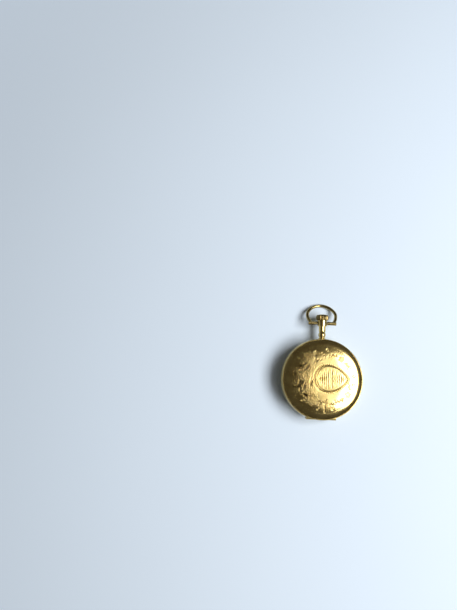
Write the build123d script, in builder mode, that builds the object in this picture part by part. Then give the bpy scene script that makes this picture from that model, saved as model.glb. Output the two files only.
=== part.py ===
from build123d import *
import math
import os

# Pendant watch in a hunter case, in millimetres.
# The origin is the centre of the flat that the closed watch lies on.
# +Z points out of the engraved front cover and +Y towards the crown.

# Case band
case_radius = 17.0
back_room = 1.37
band_height = 2.6
band_bulge = 0.25
band_wall = 2.05
ledge_width = 0.6
ledge_height = 0.55

# Covers
cover_inset = 0.2
cover_wall = 0.45
cover_rim_wall = 1.05
cover_rim_height = 1.85
cover_bead_width = 0.35
cover_bead_height = 0.3
cover_flat_radius = 6.0
cover_shoulder_width = 3.0
cover_shoulder_bulge = 0.16
cover_inner_bulge = 0.2
cover_dome_drop = 0.9
seat_gap = 0.05
cuvette_wall = 0.35
cuvette_gap = 0.4
cuvette_side_gap = 0.45
cuvette_rim_height = 0.5
cuvette_shoulder_width = 2.1
cuvette_bulge = 0.6

# Hinges
hinge_inset = 0.85
hinge_half_length = 6.2
knuckle_radius = 0.65
hinge_pin_radius = 0.3
front_knuckle_end = 4.2
back_knuckle_end = 4.9
cuvette_knuckle_end = 1.6
cuvette_tab_length = 1.1

# Clearances
fit_gap = 0.01
running_gap = 0.04
part_gap = 0.1
cut_over = 1.0

# Bezel and glass
bezel_seat_width = 0.35
bezel_lip_width = 1.25
bezel_wall = 0.4
bezel_chamfer = 0.35
glass_thickness = 0.45
glass_rise = 0.15
glass_shoulder_width = 1.8
glass_cover_gap = 0.15
glass_hand_gap = 0.31

# Pendant and bow
pendant_spigot_radius = 1.1
pendant_foot_radius = 1.6
pendant_waist_radius = 1.25
pendant_bead_radius = 1.55
pendant_neck_radius = 1.45
pendant_bore_radius = 0.95
collar_radius = 2.0
foot_length = 0.8
bead_length = 1.9
neck_length = 2.7
collar_length = 2.8
bow_pivot_rise = 1.3
bow_wire_radius = 0.67
bow_knuckle_radius = 0.75
bow_knuckle_gap = 0.15
bow_knuckle_end = 5.9
bow_foot = 4.6
bow_half_width = 6.12
bow_shoulder_rise = 4.2
bow_crest_rise = 9.4
bow_pin_radius = 0.3
bow_pin_length = 2.4
bow_side_share = 0.75
table_gap = 0.05

# Crown and stem
crown_radius = 2.6
crown_length = 2.65
crown_lift = 0.25
crown_push = 0.5
crown_pull = 0.8
crown_skirt_radius = 2.1
crown_groove_radius = 0.25
crown_grooves = 22
crown_edge = 0.35
stem_radius = 0.5
stem_square = 0.7
stem_pilot_radius = 0.25
stem_screw_length = 0.8

# Movement levels, measured from the stem's axis
stem_to_plate = 0.8
stem_to_bridge = 1.4
plate_side_gap = 0.15
plate_thickness = 0.9
bridge_inset = 0.6
motion_height = 0.5
dial_side_gap = 0.15
dial_thickness = 0.45
hand_gap = 0.1
hand_thickness = 0.12

# Going train: numbers of teeth and modules
barrel_teeth = 80
centre_leaves = 10
barrel_module = 0.165
centre_teeth = 80
third_leaves = 10
centre_module = 0.115
third_teeth = 75
fourth_leaves = 10
third_module = 0.1
fourth_teeth = 70
escape_leaves = 7
fourth_module = 0.09
escape_teeth = 15
escape_radius = 2.2
seconds_offset = 7.2
barrel_angle = 157.0
escape_angle = -110.2
lever_angle = -104.1
lever_distance = 2.75
balance_distance = 5.4
balance_radius = 4.0
balance_thickness = 0.4
train_wheel_thickness = 0.25
arbor_radius = 0.25
pivot_radius = 0.1
jewel_radius = 0.45
jewel_thickness = 0.3
barrel_wall = 0.3
barrel_tooth_height = 0.35

wheel_addendum_share = 0.95
wheel_dedendum_share = 1.3
leaf_addendum_share = 0.8
leaf_dedendum_share = 1.2

# Motion work and keyless work
cannon_leaves = 12
minute_teeth = 36
motion_module = 0.1
minute_leaves = 10
hour_teeth = 40
hour_module = 0.096
setting_teeth = 36
minute_angle = 60.0
setting_angle = 104.5
winding_module = 0.2
winding_teeth = 19
clutch_teeth = 15
crown_wheel_teeth = 35
ratchet_teeth = 50
winding_wheel_thickness = 0.48
winding_cap_height = 0.3
winding_pinion_length = 1.8
clutch_length = 1.7
clutch_travel = 0.8
boss_length = 1.7
clutch_gap = 0.2
pilot_boss_length = 1.2

# Screws
screw_radius = 0.35
screw_head_radius = 0.7
screw_head_height = 0.35
screw_depth = 0.6
slot_width = 0.2
slot_depth = 0.15

# Levels and places that follow from the sizes above
winding_tip = winding_module * (winding_teeth + 2) / 2
cuvette_high = cover_wall + cuvette_gap + cuvette_wall
winding_height = winding_cap_height + winding_wheel_thickness + part_gap / 2
axis_z = cuvette_high + back_room + winding_height + winding_tip
band_low = axis_z - band_height / 2
band_high = axis_z + band_height / 2
band_bore = case_radius - band_wall
ledge_radius = band_bore - ledge_width
hinge_reach = case_radius - hinge_inset
cover_radius = case_radius - cover_inset
cover_dome_radius = cover_radius - cover_shoulder_width
cuvette_radius = cover_radius - cover_rim_wall - cuvette_side_gap
bezel_radius = band_bore + bezel_seat_width
bezel_lip_radius = bezel_radius - bezel_lip_width
glass_shoulder_radius = bezel_radius - bezel_wall - glass_shoulder_width - cover_inset
plate_radius = band_bore - plate_side_gap
bridge_radius = plate_radius - bridge_inset
boss_near = bridge_radius - boss_length
winding_pinion_near = boss_near - part_gap - winding_pinion_length
clutch_near = winding_pinion_near - clutch_gap - clutch_length
pilot_boss_near = clutch_near - clutch_travel - part_gap - pilot_boss_length
dial_radius = bezel_lip_radius - dial_side_gap
plate_low = axis_z + stem_to_plate
plate_high = plate_low + plate_thickness
bridge_high = axis_z - stem_to_bridge
dial_low = plate_high + max(motion_height, winding_tip + part_gap - stem_to_plate - plate_thickness)
dial_high = dial_low + dial_thickness
seconds_hand_low = dial_high + hand_gap
hour_hand_low = seconds_hand_low + hand_thickness + hand_gap
minute_hand_low = hour_hand_low + hand_thickness + hand_gap
glass_low = minute_hand_low + hand_thickness + glass_hand_gap - hand_gap
glass_seat = dial_high + 2 * hand_gap
glass_shoulder_high = glass_low + glass_thickness
case_height = glass_shoulder_high + glass_cover_gap + cover_wall + cover_dome_drop
crown_wheel_high = axis_z - winding_tip - part_gap / 2
crown_wheel_low = crown_wheel_high - winding_wheel_thickness
bridge_low = crown_wheel_high + running_gap
bridge_thickness = bridge_high - bridge_low
pivot_y = case_radius + foot_length + bead_length + neck_length + bow_pivot_rise
collar_low_y = case_radius + foot_length + bead_length + neck_length
collar_high_y = collar_low_y + collar_length
crown_low_y = collar_high_y - crown_lift
crown_high_y = crown_low_y + crown_length
crown_recess = crown_lift + crown_push + part_gap
bow_droop = math.degrees(math.asin((axis_z - bow_wire_radius - table_gap) / bow_crest_rise))

stem_axis = Axis((0, 0, axis_z), (0, 1, 0))


def polar(radius, angle, centre=(0, 0)):
    """Point at a radius and an angle in degrees round a centre."""
    turn = math.radians(angle)
    return (centre[0] + radius * math.cos(turn), centre[1] + radius * math.sin(turn))


def direction(start, end):
    """Angle in degrees of the line from one point to another."""
    return math.degrees(math.atan2(end[1] - start[1], end[0] - start[0]))


def meeting_point(first, first_reach, second, second_reach):
    """Point on the left of the line first to second, at both reaches."""
    span = math.dist(first, second)
    along = (first_reach**2 - second_reach**2 + span**2) / (2 * span)
    aside = math.sqrt(first_reach**2 - along**2)
    line = direction(first, second)
    return polar(aside, line + 90, polar(along, line, first))


def mesh_distance(module, teeth, leaves):
    """Centre distance of two wheels that mesh."""
    return module * (teeth + leaves) / 2


centre_place = (0, 0)
fourth_place = (seconds_offset, 0)
barrel_place = polar(mesh_distance(barrel_module, barrel_teeth, centre_leaves), barrel_angle)
third_place = meeting_point(
    centre_place,
    mesh_distance(centre_module, centre_teeth, third_leaves),
    fourth_place,
    mesh_distance(third_module, third_teeth, fourth_leaves),
)
escape_reach = mesh_distance(fourth_module, fourth_teeth, escape_leaves)
escape_place = polar(escape_reach, escape_angle, fourth_place)
lever_place = polar(lever_distance, lever_angle, escape_place)
balance_place = polar(balance_distance, lever_angle, escape_place)
winding_reach = mesh_distance(winding_module, ratchet_teeth, crown_wheel_teeth)
crown_wheel_place = (0, barrel_place[1] + math.sqrt(winding_reach**2 - barrel_place[0] ** 2))
minute_place = polar(mesh_distance(motion_module, cannon_leaves, minute_teeth), minute_angle)
setting_place = polar(
    mesh_distance(motion_module, minute_teeth, setting_teeth), setting_angle, minute_place
)


def heading(angle):
    """Unit vector at an angle, parallel to the dial."""
    return (math.cos(math.radians(angle)), math.sin(math.radians(angle)), 0)


def level(height):
    """Plane parallel to the dial."""
    return Plane.XY.offset(height)


def stem_plane(y):
    """Plane square to the stem."""
    return Plane(origin=(0, y, axis_z), x_dir=(1, 0, 0), z_dir=(0, 1, 0))


def post(place, low, high, radius, mode=Mode.ADD):
    """Upright cylinder, or a hole of that form."""
    with Locations((place[0], place[1], low)):
        Cylinder(
            radius, high - low, align=(Align.CENTER, Align.CENTER, Align.MIN), mode=mode
        )


def rod(start, towards, length, radius, mode=Mode.ADD):
    """Cylinder from a point in a given direction."""
    with Locations(Plane(origin=start, z_dir=towards)):
        Cylinder(radius, length, align=(Align.CENTER, Align.CENTER, Align.MIN), mode=mode)


def hinge_rod(height, start, end, radius, mode=Mode.ADD):
    """Cylinder along a hinge's axis, between two places across the case."""
    rod((start, -hinge_reach, height), (1, 0, 0), end - start, radius, mode)


def slotted_head(place, low, height, radius):
    """Screw head with its slot in the face that points to the back."""
    post(place, low, low + height, radius)
    with Locations((place[0], place[1], low)):
        Box(
            2 * radius + slot_width,
            slot_width,
            slot_depth,
            align=(Align.CENTER, Align.CENTER, Align.MIN),
            mode=Mode.SUBTRACT,
        )


def tooth_outline(
    teeth, module, phase, addendum=wheel_addendum_share, dedendum=wheel_dedendum_share
):
    """Closed outline of a toothed wheel, one tooth centred on the phase angle."""
    pitch = 360 / teeth
    root = module * (teeth / 2 - dedendum)
    tip = module * (teeth / 2 + addendum)
    tooth_shares = ((root, -0.25), (tip, -0.1), (tip, 0.1), (root, 0.25))
    return [
        polar(radius, phase + (number + share) * pitch)
        for number in range(teeth)
        for radius, share in tooth_shares
    ]


def leaf_outline(teeth, module, phase):
    """Outline of a pinion, whose teeth are a little shorter than a wheel's."""
    return tooth_outline(teeth, module, phase, leaf_addendum_share, leaf_dedendum_share)


def saw_outline(teeth, tip, depth, phase):
    """Outline of a wheel whose pointed teeth lean one way."""
    pitch = 360 / teeth
    saw_shares = ((tip, -0.1), (tip, 0.0), (tip - depth, 0.08))
    return [
        polar(radius, phase - (number + share) * pitch)
        for number in range(teeth)
        for radius, share in saw_shares
    ]


def mating_phase(first, second, teeth, mate_teeth, phase):
    """Phase of a second wheel whose gap faces the first wheel's tooth."""
    line = direction(first, second)
    lead = phase - line
    return line + 180 + 180 / mate_teeth - lead * teeth / mate_teeth


def crossed_wheel(place, outline, rim_inner, hub, arms, arm_width):
    """Toothed ring joined to its hub by arms, in the current sketch."""
    with Locations(place):
        Polygon(*outline, align=None)
        Circle(rim_inner, mode=Mode.SUBTRACT)
        Circle(hub)
        with PolarLocations(0, arms):
            Rectangle(rim_inner + arm_width / 4, arm_width, align=(Align.MIN, Align.CENTER))


def half_plane(point, angle, reach, side):
    """Corners of a wide strip on one side of a line, 1 for left and -1 for right."""
    start = polar(-reach, angle, point)
    end = polar(reach, angle, point)
    return [start, end, polar(side * reach, angle + 90, end), polar(side * reach, angle + 90, start)]


def bulged_arc(start, end, bulge):
    """Arc that stands out from its chord, on the left of the way from start to end."""
    middle = ((start[0] + end[0]) / 2, (start[1] + end[1]) / 2)
    ThreePointArc(start, polar(bulge, direction(start, end) + 90, middle), end)


def shell_half(rim_z, facing, height, radius, rim, dome, drop, bulge, bead=0, bead_high=0):
    """Turned half of a closed dome, facing 1 for front and -1 for back."""
    axis_top, flat_end, dome_end, bead_end, rim_top, rim_low, axis_low = [
        (x, rim_z + facing * z)
        for x, z in (
            (0, height),
            (cover_flat_radius, height),
            (dome, height - drop),
            (radius - bead, rim + bead_high),
            (radius, rim),
            (radius, 0),
            (0, 0),
        )
    ]
    with BuildPart() as half:
        with BuildSketch(Plane.XZ):
            with BuildLine():
                Line(axis_top, flat_end)
                TangentArc(flat_end, dome_end, tangent=(1, 0))
                bulged_arc(dome_end, bead_end, facing * bulge)
                if bead:
                    TangentArc(rim_top, bead_end, tangent=(0, facing))
                Polyline(rim_top, rim_low, axis_low, axis_top)
            make_face()
        revolve(axis=Axis.Z)
    return half.part


def save(piece, label):
    """Names a finished piece and writes it."""
    piece.part.label = label
    export_step(piece.part, f"parts/{label}.step")


os.makedirs("parts", exist_ok=True)


# Case band with the ledge that carries the movement
catch_angle = 80.0
catch_notch_width = 1.4
catch_tooth_wall = 0.22
catch_tooth_radius = cover_radius - cover_rim_wall - catch_tooth_wall / 2 - part_gap
spring_drop = 1.0
spring_low = axis_z - spring_drop
spring_height = 0.8
spring_wall = 0.3
spring_side_gap = 0.15
spring_radius = band_bore - spring_wall / 2 - spring_side_gap
spring_screw_head_radius = 0.52
spring_screw_angles = (185.0, 25.0)
spring_screw_reach = 1.2
case_screw_angles = (60.0, 240.0)
case_screw_inset = 0.7
case_screw_radius = ledge_radius - case_screw_inset
case_screw_head_radius = 0.95
hinge_slot_half = hinge_half_length + part_gap
stem_hole_radius = stem_radius + part_gap

with BuildPart() as case_center:
    with BuildSketch(Plane.XZ):
        with BuildLine():
            ThreePointArc(
                (case_radius - band_bulge, band_low),
                (case_radius, axis_z),
                (case_radius - band_bulge, band_high),
            )
            Polyline(
                (case_radius - band_bulge, band_high),
                (band_bore, band_high),
                (band_bore, plate_low),
                (ledge_radius, plate_low),
                (ledge_radius, plate_low - ledge_height),
                (band_bore, plate_low - ledge_height),
                (band_bore, band_low),
                (case_radius - band_bulge, band_low),
            )
        make_face()
    revolve(axis=Axis.Z)
    with BuildSketch(level(band_low - cut_over)):
        with Locations((0, -hinge_reach)):
            Rectangle(
                2 * hinge_slot_half, case_radius, align=(Align.CENTER, Align.MAX)
            )
    extrude(amount=band_height + 2 * cut_over, mode=Mode.SUBTRACT)
    for height, knuckle_end in ((band_high, front_knuckle_end), (band_low, back_knuckle_end)):
        hinge_rod(
            height,
            -knuckle_end - part_gap,
            knuckle_end + part_gap,
            knuckle_radius + part_gap,
            Mode.SUBTRACT,
        )
        for start, end in (
            (-hinge_half_length, -knuckle_end - part_gap),
            (knuckle_end + part_gap, hinge_half_length),
        ):
            hinge_rod(height, start, end, knuckle_radius)
        hinge_rod(
            height,
            -hinge_slot_half,
            hinge_slot_half,
            hinge_pin_radius + fit_gap,
            Mode.SUBTRACT,
        )
    rod((0, 0, axis_z), (0, 1, 0), case_radius + cut_over, stem_hole_radius, Mode.SUBTRACT)
    rod(
        (0, ledge_radius - cut_over, axis_z),
        (0, 1, 0),
        case_radius,
        pendant_spigot_radius + fit_gap,
        Mode.SUBTRACT,
    )
    for angle in case_screw_angles:
        post(
            polar(case_screw_radius, angle),
            plate_low - ledge_height - cut_over,
            plate_low + cut_over,
            screw_radius + fit_gap,
            Mode.SUBTRACT,
        )
    for angle in spring_screw_angles:
        rod(
            (*polar(band_bore - cut_over, angle), spring_low + spring_height / 2),
            heading(angle),
            cut_over + spring_screw_reach + part_gap,
            screw_radius + fit_gap,
            Mode.SUBTRACT,
        )
    with BuildSketch(level(spring_low - part_gap)):
        with Locations(Location((*polar(band_bore, catch_angle), 0), catch_angle)):
            Rectangle(
                2 * (catch_tooth_radius + catch_tooth_wall - band_bore),
                catch_notch_width,
            )
    extrude(amount=band_height, mode=Mode.SUBTRACT)
save(case_center, "case_center")


# Front cover and back cover: the same shell, one facing each way
front_rim_z = band_high + seat_gap
back_rim_z = band_low - seat_gap
relief_radius = knuckle_radius + part_gap


def cover_shell(rim_z, facing, height):
    """Shell of an outer cover over the band, with a bead round its rim."""
    with BuildPart() as shell:
        add(
            shell_half(
                rim_z,
                facing,
                height,
                cover_radius,
                cover_rim_height,
                cover_dome_radius,
                cover_dome_drop,
                cover_shoulder_bulge,
                cover_bead_width,
                cover_bead_height,
            )
        )
        add(
            shell_half(
                rim_z,
                facing,
                height - cover_wall,
                cover_radius - cover_rim_wall,
                cover_rim_height,
                cover_dome_radius,
                cover_dome_drop,
                cover_inner_bulge,
            ),
            mode=Mode.SUBTRACT,
        )
    return shell.part


with BuildPart() as front_lid:
    add(cover_shell(front_rim_z, 1, case_height - front_rim_z))
    for start, end in (
        (-hinge_slot_half, -front_knuckle_end),
        (front_knuckle_end, hinge_slot_half),
    ):
        hinge_rod(band_high, start, end, relief_radius, Mode.SUBTRACT)
    hinge_rod(band_high, -front_knuckle_end, front_knuckle_end, knuckle_radius)
    hinge_rod(
        band_high,
        -hinge_slot_half,
        hinge_slot_half,
        hinge_pin_radius + running_gap,
        Mode.SUBTRACT,
    )
save(front_lid, "front_lid")

back_knuckle_start = cuvette_knuckle_end + part_gap

with BuildPart() as back_cover:
    add(cover_shell(back_rim_z, -1, back_rim_z))
    for start, end in (
        (-hinge_slot_half, -back_knuckle_end),
        (-back_knuckle_start, back_knuckle_start),
        (back_knuckle_end, hinge_slot_half),
    ):
        hinge_rod(band_low, start, end, relief_radius, Mode.SUBTRACT)
    for start, end in (
        (-back_knuckle_end, -back_knuckle_start),
        (back_knuckle_start, back_knuckle_end),
    ):
        hinge_rod(band_low, start, end, knuckle_radius)
    hinge_rod(
        band_low,
        -hinge_slot_half,
        hinge_slot_half,
        hinge_pin_radius + running_gap,
        Mode.SUBTRACT,
    )
save(back_cover, "back_cover")


# Inner dust cover, which shares the back cover's hinge
cuvette_height = back_rim_z - cover_wall - cuvette_gap

with BuildPart() as cuvette:
    for inset, mode in ((0, Mode.ADD), (cuvette_wall, Mode.SUBTRACT)):
        add(
            shell_half(
                back_rim_z,
                -1,
                cuvette_height - inset,
                cuvette_radius - inset,
                cuvette_rim_height,
                cuvette_radius - cuvette_shoulder_width,
                cover_dome_drop - part_gap,
                cuvette_bulge,
            ),
            mode=mode,
        )
    with BuildSketch(level(back_rim_z - cuvette_rim_height)):
        with Locations((0, -hinge_reach)):
            Rectangle(
                2 * cuvette_knuckle_end, cuvette_tab_length, align=(Align.CENTER, Align.MIN)
            )
    extrude(amount=cuvette_rim_height)
    hinge_rod(band_low, -cuvette_knuckle_end, cuvette_knuckle_end, knuckle_radius)
    hinge_rod(
        band_low,
        -hinge_slot_half,
        hinge_slot_half,
        hinge_pin_radius + running_gap,
        Mode.SUBTRACT,
    )
save(cuvette, "cuvette")

with BuildPart() as front_hinge_pin:
    hinge_rod(band_high, -hinge_half_length, hinge_half_length, hinge_pin_radius)
save(front_hinge_pin, "front_hinge_pin")

with BuildPart() as back_hinge_pin:
    hinge_rod(band_low, -hinge_half_length, hinge_half_length, hinge_pin_radius)
save(back_hinge_pin, "back_hinge_pin")


# Bezel ring and the domed glass that it holds
bezel_recess = plate_radius + part_gap
bezel_high = glass_seat + glass_thickness
glass_seat_radius = bezel_radius - bezel_wall - cover_inset
glass_rim_inner = bezel_lip_radius - part_gap

with BuildPart() as bezel:
    with BuildSketch(Plane.XZ):
        with BuildLine():
            Polyline(
                (bezel_recess, band_high),
                (bezel_radius, band_high),
                (bezel_radius, bezel_high - bezel_chamfer),
                (bezel_radius - bezel_chamfer, bezel_high),
                (glass_seat_radius, bezel_high),
                (glass_seat_radius, glass_seat),
                (bezel_lip_radius, glass_seat),
                (bezel_lip_radius, plate_high + part_gap),
                (bezel_recess, plate_high + part_gap),
                close=True,
            )
        make_face()
    revolve(axis=Axis.Z)
save(bezel, "bezel")

rim_outer = glass_seat_radius - fit_gap
rim_step = (rim_outer - glass_thickness, bezel_high)
inner_crown = (0, glass_low + glass_rise)
outer_crown = (0, glass_shoulder_high + glass_rise)
inner_shoulder = (glass_shoulder_radius - glass_thickness / 2, glass_low)
outer_shoulder = (glass_shoulder_radius, glass_shoulder_high)

with BuildPart() as crystal:
    with BuildSketch(Plane.XZ):
        with BuildLine():
            Line(inner_crown, outer_crown)
            TangentArc(outer_crown, outer_shoulder, tangent=(1, 0))
            TangentArc(rim_step, outer_shoulder, tangent=(0, 1))
            Polyline(
                rim_step,
                (rim_outer, bezel_high),
                (rim_outer, glass_seat),
                (glass_rim_inner, glass_seat),
            )
            TangentArc((glass_rim_inner, glass_seat), inner_shoulder, tangent=(0, 1))
            TangentArc(inner_crown, inner_shoulder, tangent=(1, 0))
        make_face()
    revolve(axis=Axis.Z)
save(crystal, "crystal")


# Pendant: a turned tube with its foot in the band and a collar for the bow
bead_low_y = case_radius + foot_length
neck_low_y = bead_low_y + bead_length
bead_round = bead_length / 4
collar_edge = (collar_radius - pendant_neck_radius) / 3

with BuildPart() as pendant:
    with BuildSketch(level(axis_z)):
        with BuildLine():
            foot_start = (pendant_foot_radius, case_radius + fit_gap)
            foot_end = (pendant_waist_radius, bead_low_y)
            bead_crest = (pendant_bead_radius, bead_low_y + bead_length / 2)
            neck_start = (pendant_waist_radius, neck_low_y)
            collar_start = (pendant_neck_radius, collar_low_y)
            Polyline(
                (0, band_bore + part_gap),
                (pendant_spigot_radius, band_bore + part_gap),
                (pendant_spigot_radius, case_radius + fit_gap),
                foot_start,
            )
            TangentArc(foot_end, foot_start, tangent=(0, -1))
            ThreePointArc(foot_end, bead_crest, neck_start)
            Line(neck_start, (pendant_neck_radius, neck_low_y + bead_round))
            Line((pendant_neck_radius, neck_low_y + bead_round), collar_start)
            Polyline(
                collar_start,
                (collar_radius - collar_edge, collar_low_y),
                (collar_radius, collar_low_y + collar_edge),
                (collar_radius, collar_high_y - collar_edge),
                (collar_radius - collar_edge, collar_high_y),
                (0, collar_high_y),
                (0, band_bore + part_gap),
            )
        make_face()
    revolve(axis=stem_axis)
    rod((0, 0, axis_z), (0, 1, 0), 2 * case_radius, stem_hole_radius, Mode.SUBTRACT)
    rod(
        (0, bead_low_y, axis_z), (0, 1, 0), case_radius, pendant_bore_radius, Mode.SUBTRACT
    )
    rod(
        (-2 * collar_radius, pivot_y, axis_z),
        (1, 0, 0),
        4 * collar_radius,
        bow_pin_radius + fit_gap,
        Mode.SUBTRACT,
    )
save(pendant, "pendant")

with BuildPart() as crown_sleeve:
    rod(
        (0, bead_low_y + part_gap, axis_z),
        (0, 1, 0),
        collar_high_y - bead_low_y - part_gap,
        pendant_bore_radius - fit_gap,
    )
    rod((0, 0, axis_z), (0, 1, 0), 2 * case_radius, stem_hole_radius, Mode.SUBTRACT)
save(crown_sleeve, "crown_sleeve")


# Bow: an oval ring on two round knuckles, hanging down to the table
bow_plane = Plane(
    origin=(0, pivot_y, axis_z),
    x_dir=(1, 0, 0),
    z_dir=(0, math.sin(math.radians(bow_droop)), math.cos(math.radians(bow_droop))),
)
bow_arch_rise = bow_crest_rise - bow_shoulder_rise
bow_side_radius = bow_side_share * bow_arch_rise
bow_crest_radius = (
    bow_half_width**2 + bow_arch_rise**2 - 2 * bow_half_width * bow_side_radius
) / (2 * (bow_arch_rise - bow_side_radius))
bow_leg_radius = ((bow_half_width - bow_foot) ** 2 + bow_shoulder_rise**2) / (
    2 * (bow_half_width - bow_foot)
)
bow_leg_centre = (bow_half_width - bow_leg_radius, bow_shoulder_rise)
bow_leg_turn = direction(bow_leg_centre, (bow_foot, 0))
bow_side_centre = (bow_half_width - bow_side_radius, bow_shoulder_rise)
bow_turn = direction((0, bow_crest_rise - bow_crest_radius), bow_side_centre)
bow_right_points = [
    (bow_foot, 0),
    polar(bow_leg_radius, bow_leg_turn / 2, bow_leg_centre),
    (bow_half_width, bow_shoulder_rise),
    polar(bow_side_radius, bow_turn / 2, bow_side_centre),
    polar(bow_side_radius, bow_turn, bow_side_centre),
]
bow_points = (
    bow_right_points + [(0, bow_crest_rise)] + [(-x, y) for x, y in reversed(bow_right_points)]
)
bow_knuckle_start = collar_radius + bow_knuckle_gap
bow_pin_start = pendant_bore_radius + part_gap / 2

with BuildPart() as bow:
    with BuildLine(bow_plane) as bow_path:
        for first in range(0, len(bow_points) - 1, 2):
            ThreePointArc(*bow_points[first : first + 3])
    bow_wire = bow_path.wire()
    with BuildSketch(Plane(origin=bow_wire @ 0, z_dir=bow_wire % 0)):
        Circle(bow_wire_radius)
    sweep(path=bow_wire)
    for side in (-1, 1):
        rod(
            (side * bow_knuckle_start, pivot_y, axis_z),
            (side, 0, 0),
            bow_knuckle_end - bow_knuckle_start,
            bow_knuckle_radius,
        )
    for side in (-1, 1):
        rod(
            (0, pivot_y, axis_z),
            (side, 0, 0),
            bow_pin_start + bow_pin_length + part_gap,
            bow_pin_radius + running_gap,
            Mode.SUBTRACT,
        )
save(bow, "bow")

with BuildPart() as bow_pins:
    for side in (-1, 1):
        rod(
            (side * bow_pin_start, pivot_y, axis_z), (side, 0, 0), bow_pin_length, bow_pin_radius
        )
save(bow_pins, "bow_pins")


# Crown with its grooves and the stem that it turns
stem_screw_end = crown_low_y + crown_recess + stem_screw_length
clutch_far = clutch_near + clutch_length
square_start = pilot_boss_near + pilot_boss_length + crown_push + part_gap
square_end = clutch_far + crown_push + crown_pull / 4
pilot_start = pilot_boss_near + part_gap / 2

with BuildPart() as crown:
    with BuildSketch(stem_plane(crown_low_y)):
        Circle(crown_radius)
        with PolarLocations(crown_radius, crown_grooves):
            Circle(crown_groove_radius, mode=Mode.SUBTRACT)
    extrude(amount=crown_length)
    with BuildSketch(level(axis_z)):
        with BuildLine():
            Polyline(
                (0, crown_low_y),
                (crown_radius - crown_edge, crown_low_y),
                (crown_radius, crown_low_y + crown_edge),
                (crown_radius, crown_high_y - 2 * crown_edge),
            )
            TangentArc(
                (crown_radius, crown_high_y - 2 * crown_edge),
                (crown_radius - 1.5 * crown_edge, crown_high_y - crown_edge / 2),
                tangent=(0, 1),
            )
            Polyline(
                (crown_radius - 1.5 * crown_edge, crown_high_y - crown_edge / 2),
                (crown_radius / 2, crown_high_y),
                (0, crown_high_y),
                (0, crown_low_y),
            )
        make_face()
    revolve(axis=stem_axis, mode=Mode.INTERSECT)
    rod(
        (0, crown_low_y - cut_over, axis_z),
        (0, 1, 0),
        crown_recess + cut_over,
        crown_skirt_radius,
        Mode.SUBTRACT,
    )
    rod(
        (0, crown_low_y, axis_z),
        (0, 1, 0),
        crown_recess + stem_screw_length,
        stem_radius + fit_gap,
        Mode.SUBTRACT,
    )
save(crown, "crown")

with BuildPart() as stem:
    rod((0, square_end, axis_z), (0, 1, 0), stem_screw_end - square_end, stem_radius)
    with BuildSketch(stem_plane(square_start)):
        Rectangle(stem_square, stem_square)
    extrude(amount=square_end - square_start)
    rod((0, pilot_start, axis_z), (0, 1, 0), square_start - pilot_start, stem_pilot_radius)
save(stem, "stem")

with BuildPart() as winding_pinion:
    with BuildSketch(stem_plane(winding_pinion_near)):
        Polygon(*tooth_outline(winding_teeth, winding_module, 90), align=None)
        Circle(stem_radius + running_gap, mode=Mode.SUBTRACT)
    extrude(amount=winding_pinion_length)
save(winding_pinion, "winding_pinion")

with BuildPart() as clutch_wheel:
    with BuildSketch(stem_plane(clutch_near)):
        Polygon(*tooth_outline(clutch_teeth, winding_module, 90), align=None)
    extrude(amount=clutch_length / 3)
    clutch_root = winding_module * (clutch_teeth / 2 - 2)
    with BuildSketch(stem_plane(clutch_near + clutch_length / 3)):
        Circle(clutch_root - winding_module)
    extrude(amount=clutch_length / 3)
    with BuildSketch(stem_plane(clutch_near + 2 * clutch_length / 3)):
        Polygon(
            *saw_outline(clutch_teeth, clutch_root + winding_module, winding_module, 0),
            align=None,
        )
    extrude(amount=clutch_length / 3)
    with BuildSketch(stem_plane(clutch_near - cut_over)):
        Rectangle(stem_square + 2 * running_gap, stem_square + 2 * running_gap)
    extrude(amount=clutch_length + 2 * cut_over, mode=Mode.SUBTRACT)
save(clutch_wheel, "clutch_wheel")


# Springs in the band that lift the front cover and hold it shut
hinge_end_angle = 270 - math.degrees(math.asin(hinge_slot_half / case_radius))


def band_spring(start_angle, end_angle):
    """Flat spring bent along the band, with a hole for its screw at the start."""
    with BuildPart() as spring:
        with BuildSketch(level(spring_low)):
            with BuildLine():
                swing = end_angle - start_angle
                CenterArc((0, 0), spring_radius + spring_wall / 2, start_angle, swing)
                CenterArc((0, 0), spring_radius - spring_wall / 2, start_angle, swing)
                for angle in (start_angle, end_angle):
                    Line(
                        polar(spring_radius - spring_wall / 2, angle),
                        polar(spring_radius + spring_wall / 2, angle),
                    )
            make_face()
        extrude(amount=spring_height)
    return spring.part


screw_margin = math.degrees(2 * screw_radius / spring_radius)

with BuildPart() as lift_spring:
    add(band_spring(spring_screw_angles[0] - screw_margin, hinge_end_angle))
    rod(
        (0, 0, spring_low + spring_height / 2),
        heading(spring_screw_angles[0]),
        case_radius,
        screw_radius + fit_gap,
        Mode.SUBTRACT,
    )
save(lift_spring, "lift_spring")

catch_reach = catch_tooth_radius + catch_tooth_wall / 2 - spring_radius

with BuildPart() as catch_spring:
    add(band_spring(spring_screw_angles[1] - screw_margin, catch_angle))
    with BuildSketch(level(spring_low)):
        with Locations(Location((*polar(spring_radius, catch_angle), 0), catch_angle)):
            Rectangle(
                catch_reach, catch_notch_width - 4 * part_gap, align=(Align.MIN, Align.CENTER)
            )
    extrude(amount=spring_height)
    with BuildSketch(level(spring_low)):
        with Locations(Location((*polar(catch_tooth_radius, catch_angle), 0), catch_angle)):
            Rectangle(catch_tooth_wall, catch_notch_width - 4 * part_gap)
    extrude(amount=band_high - spring_low + 2 * catch_tooth_wall)
    rod(
        (0, 0, spring_low + spring_height / 2),
        heading(spring_screw_angles[1]),
        case_radius,
        screw_radius + fit_gap,
        Mode.SUBTRACT,
    )
save(catch_spring, "catch_spring")

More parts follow.
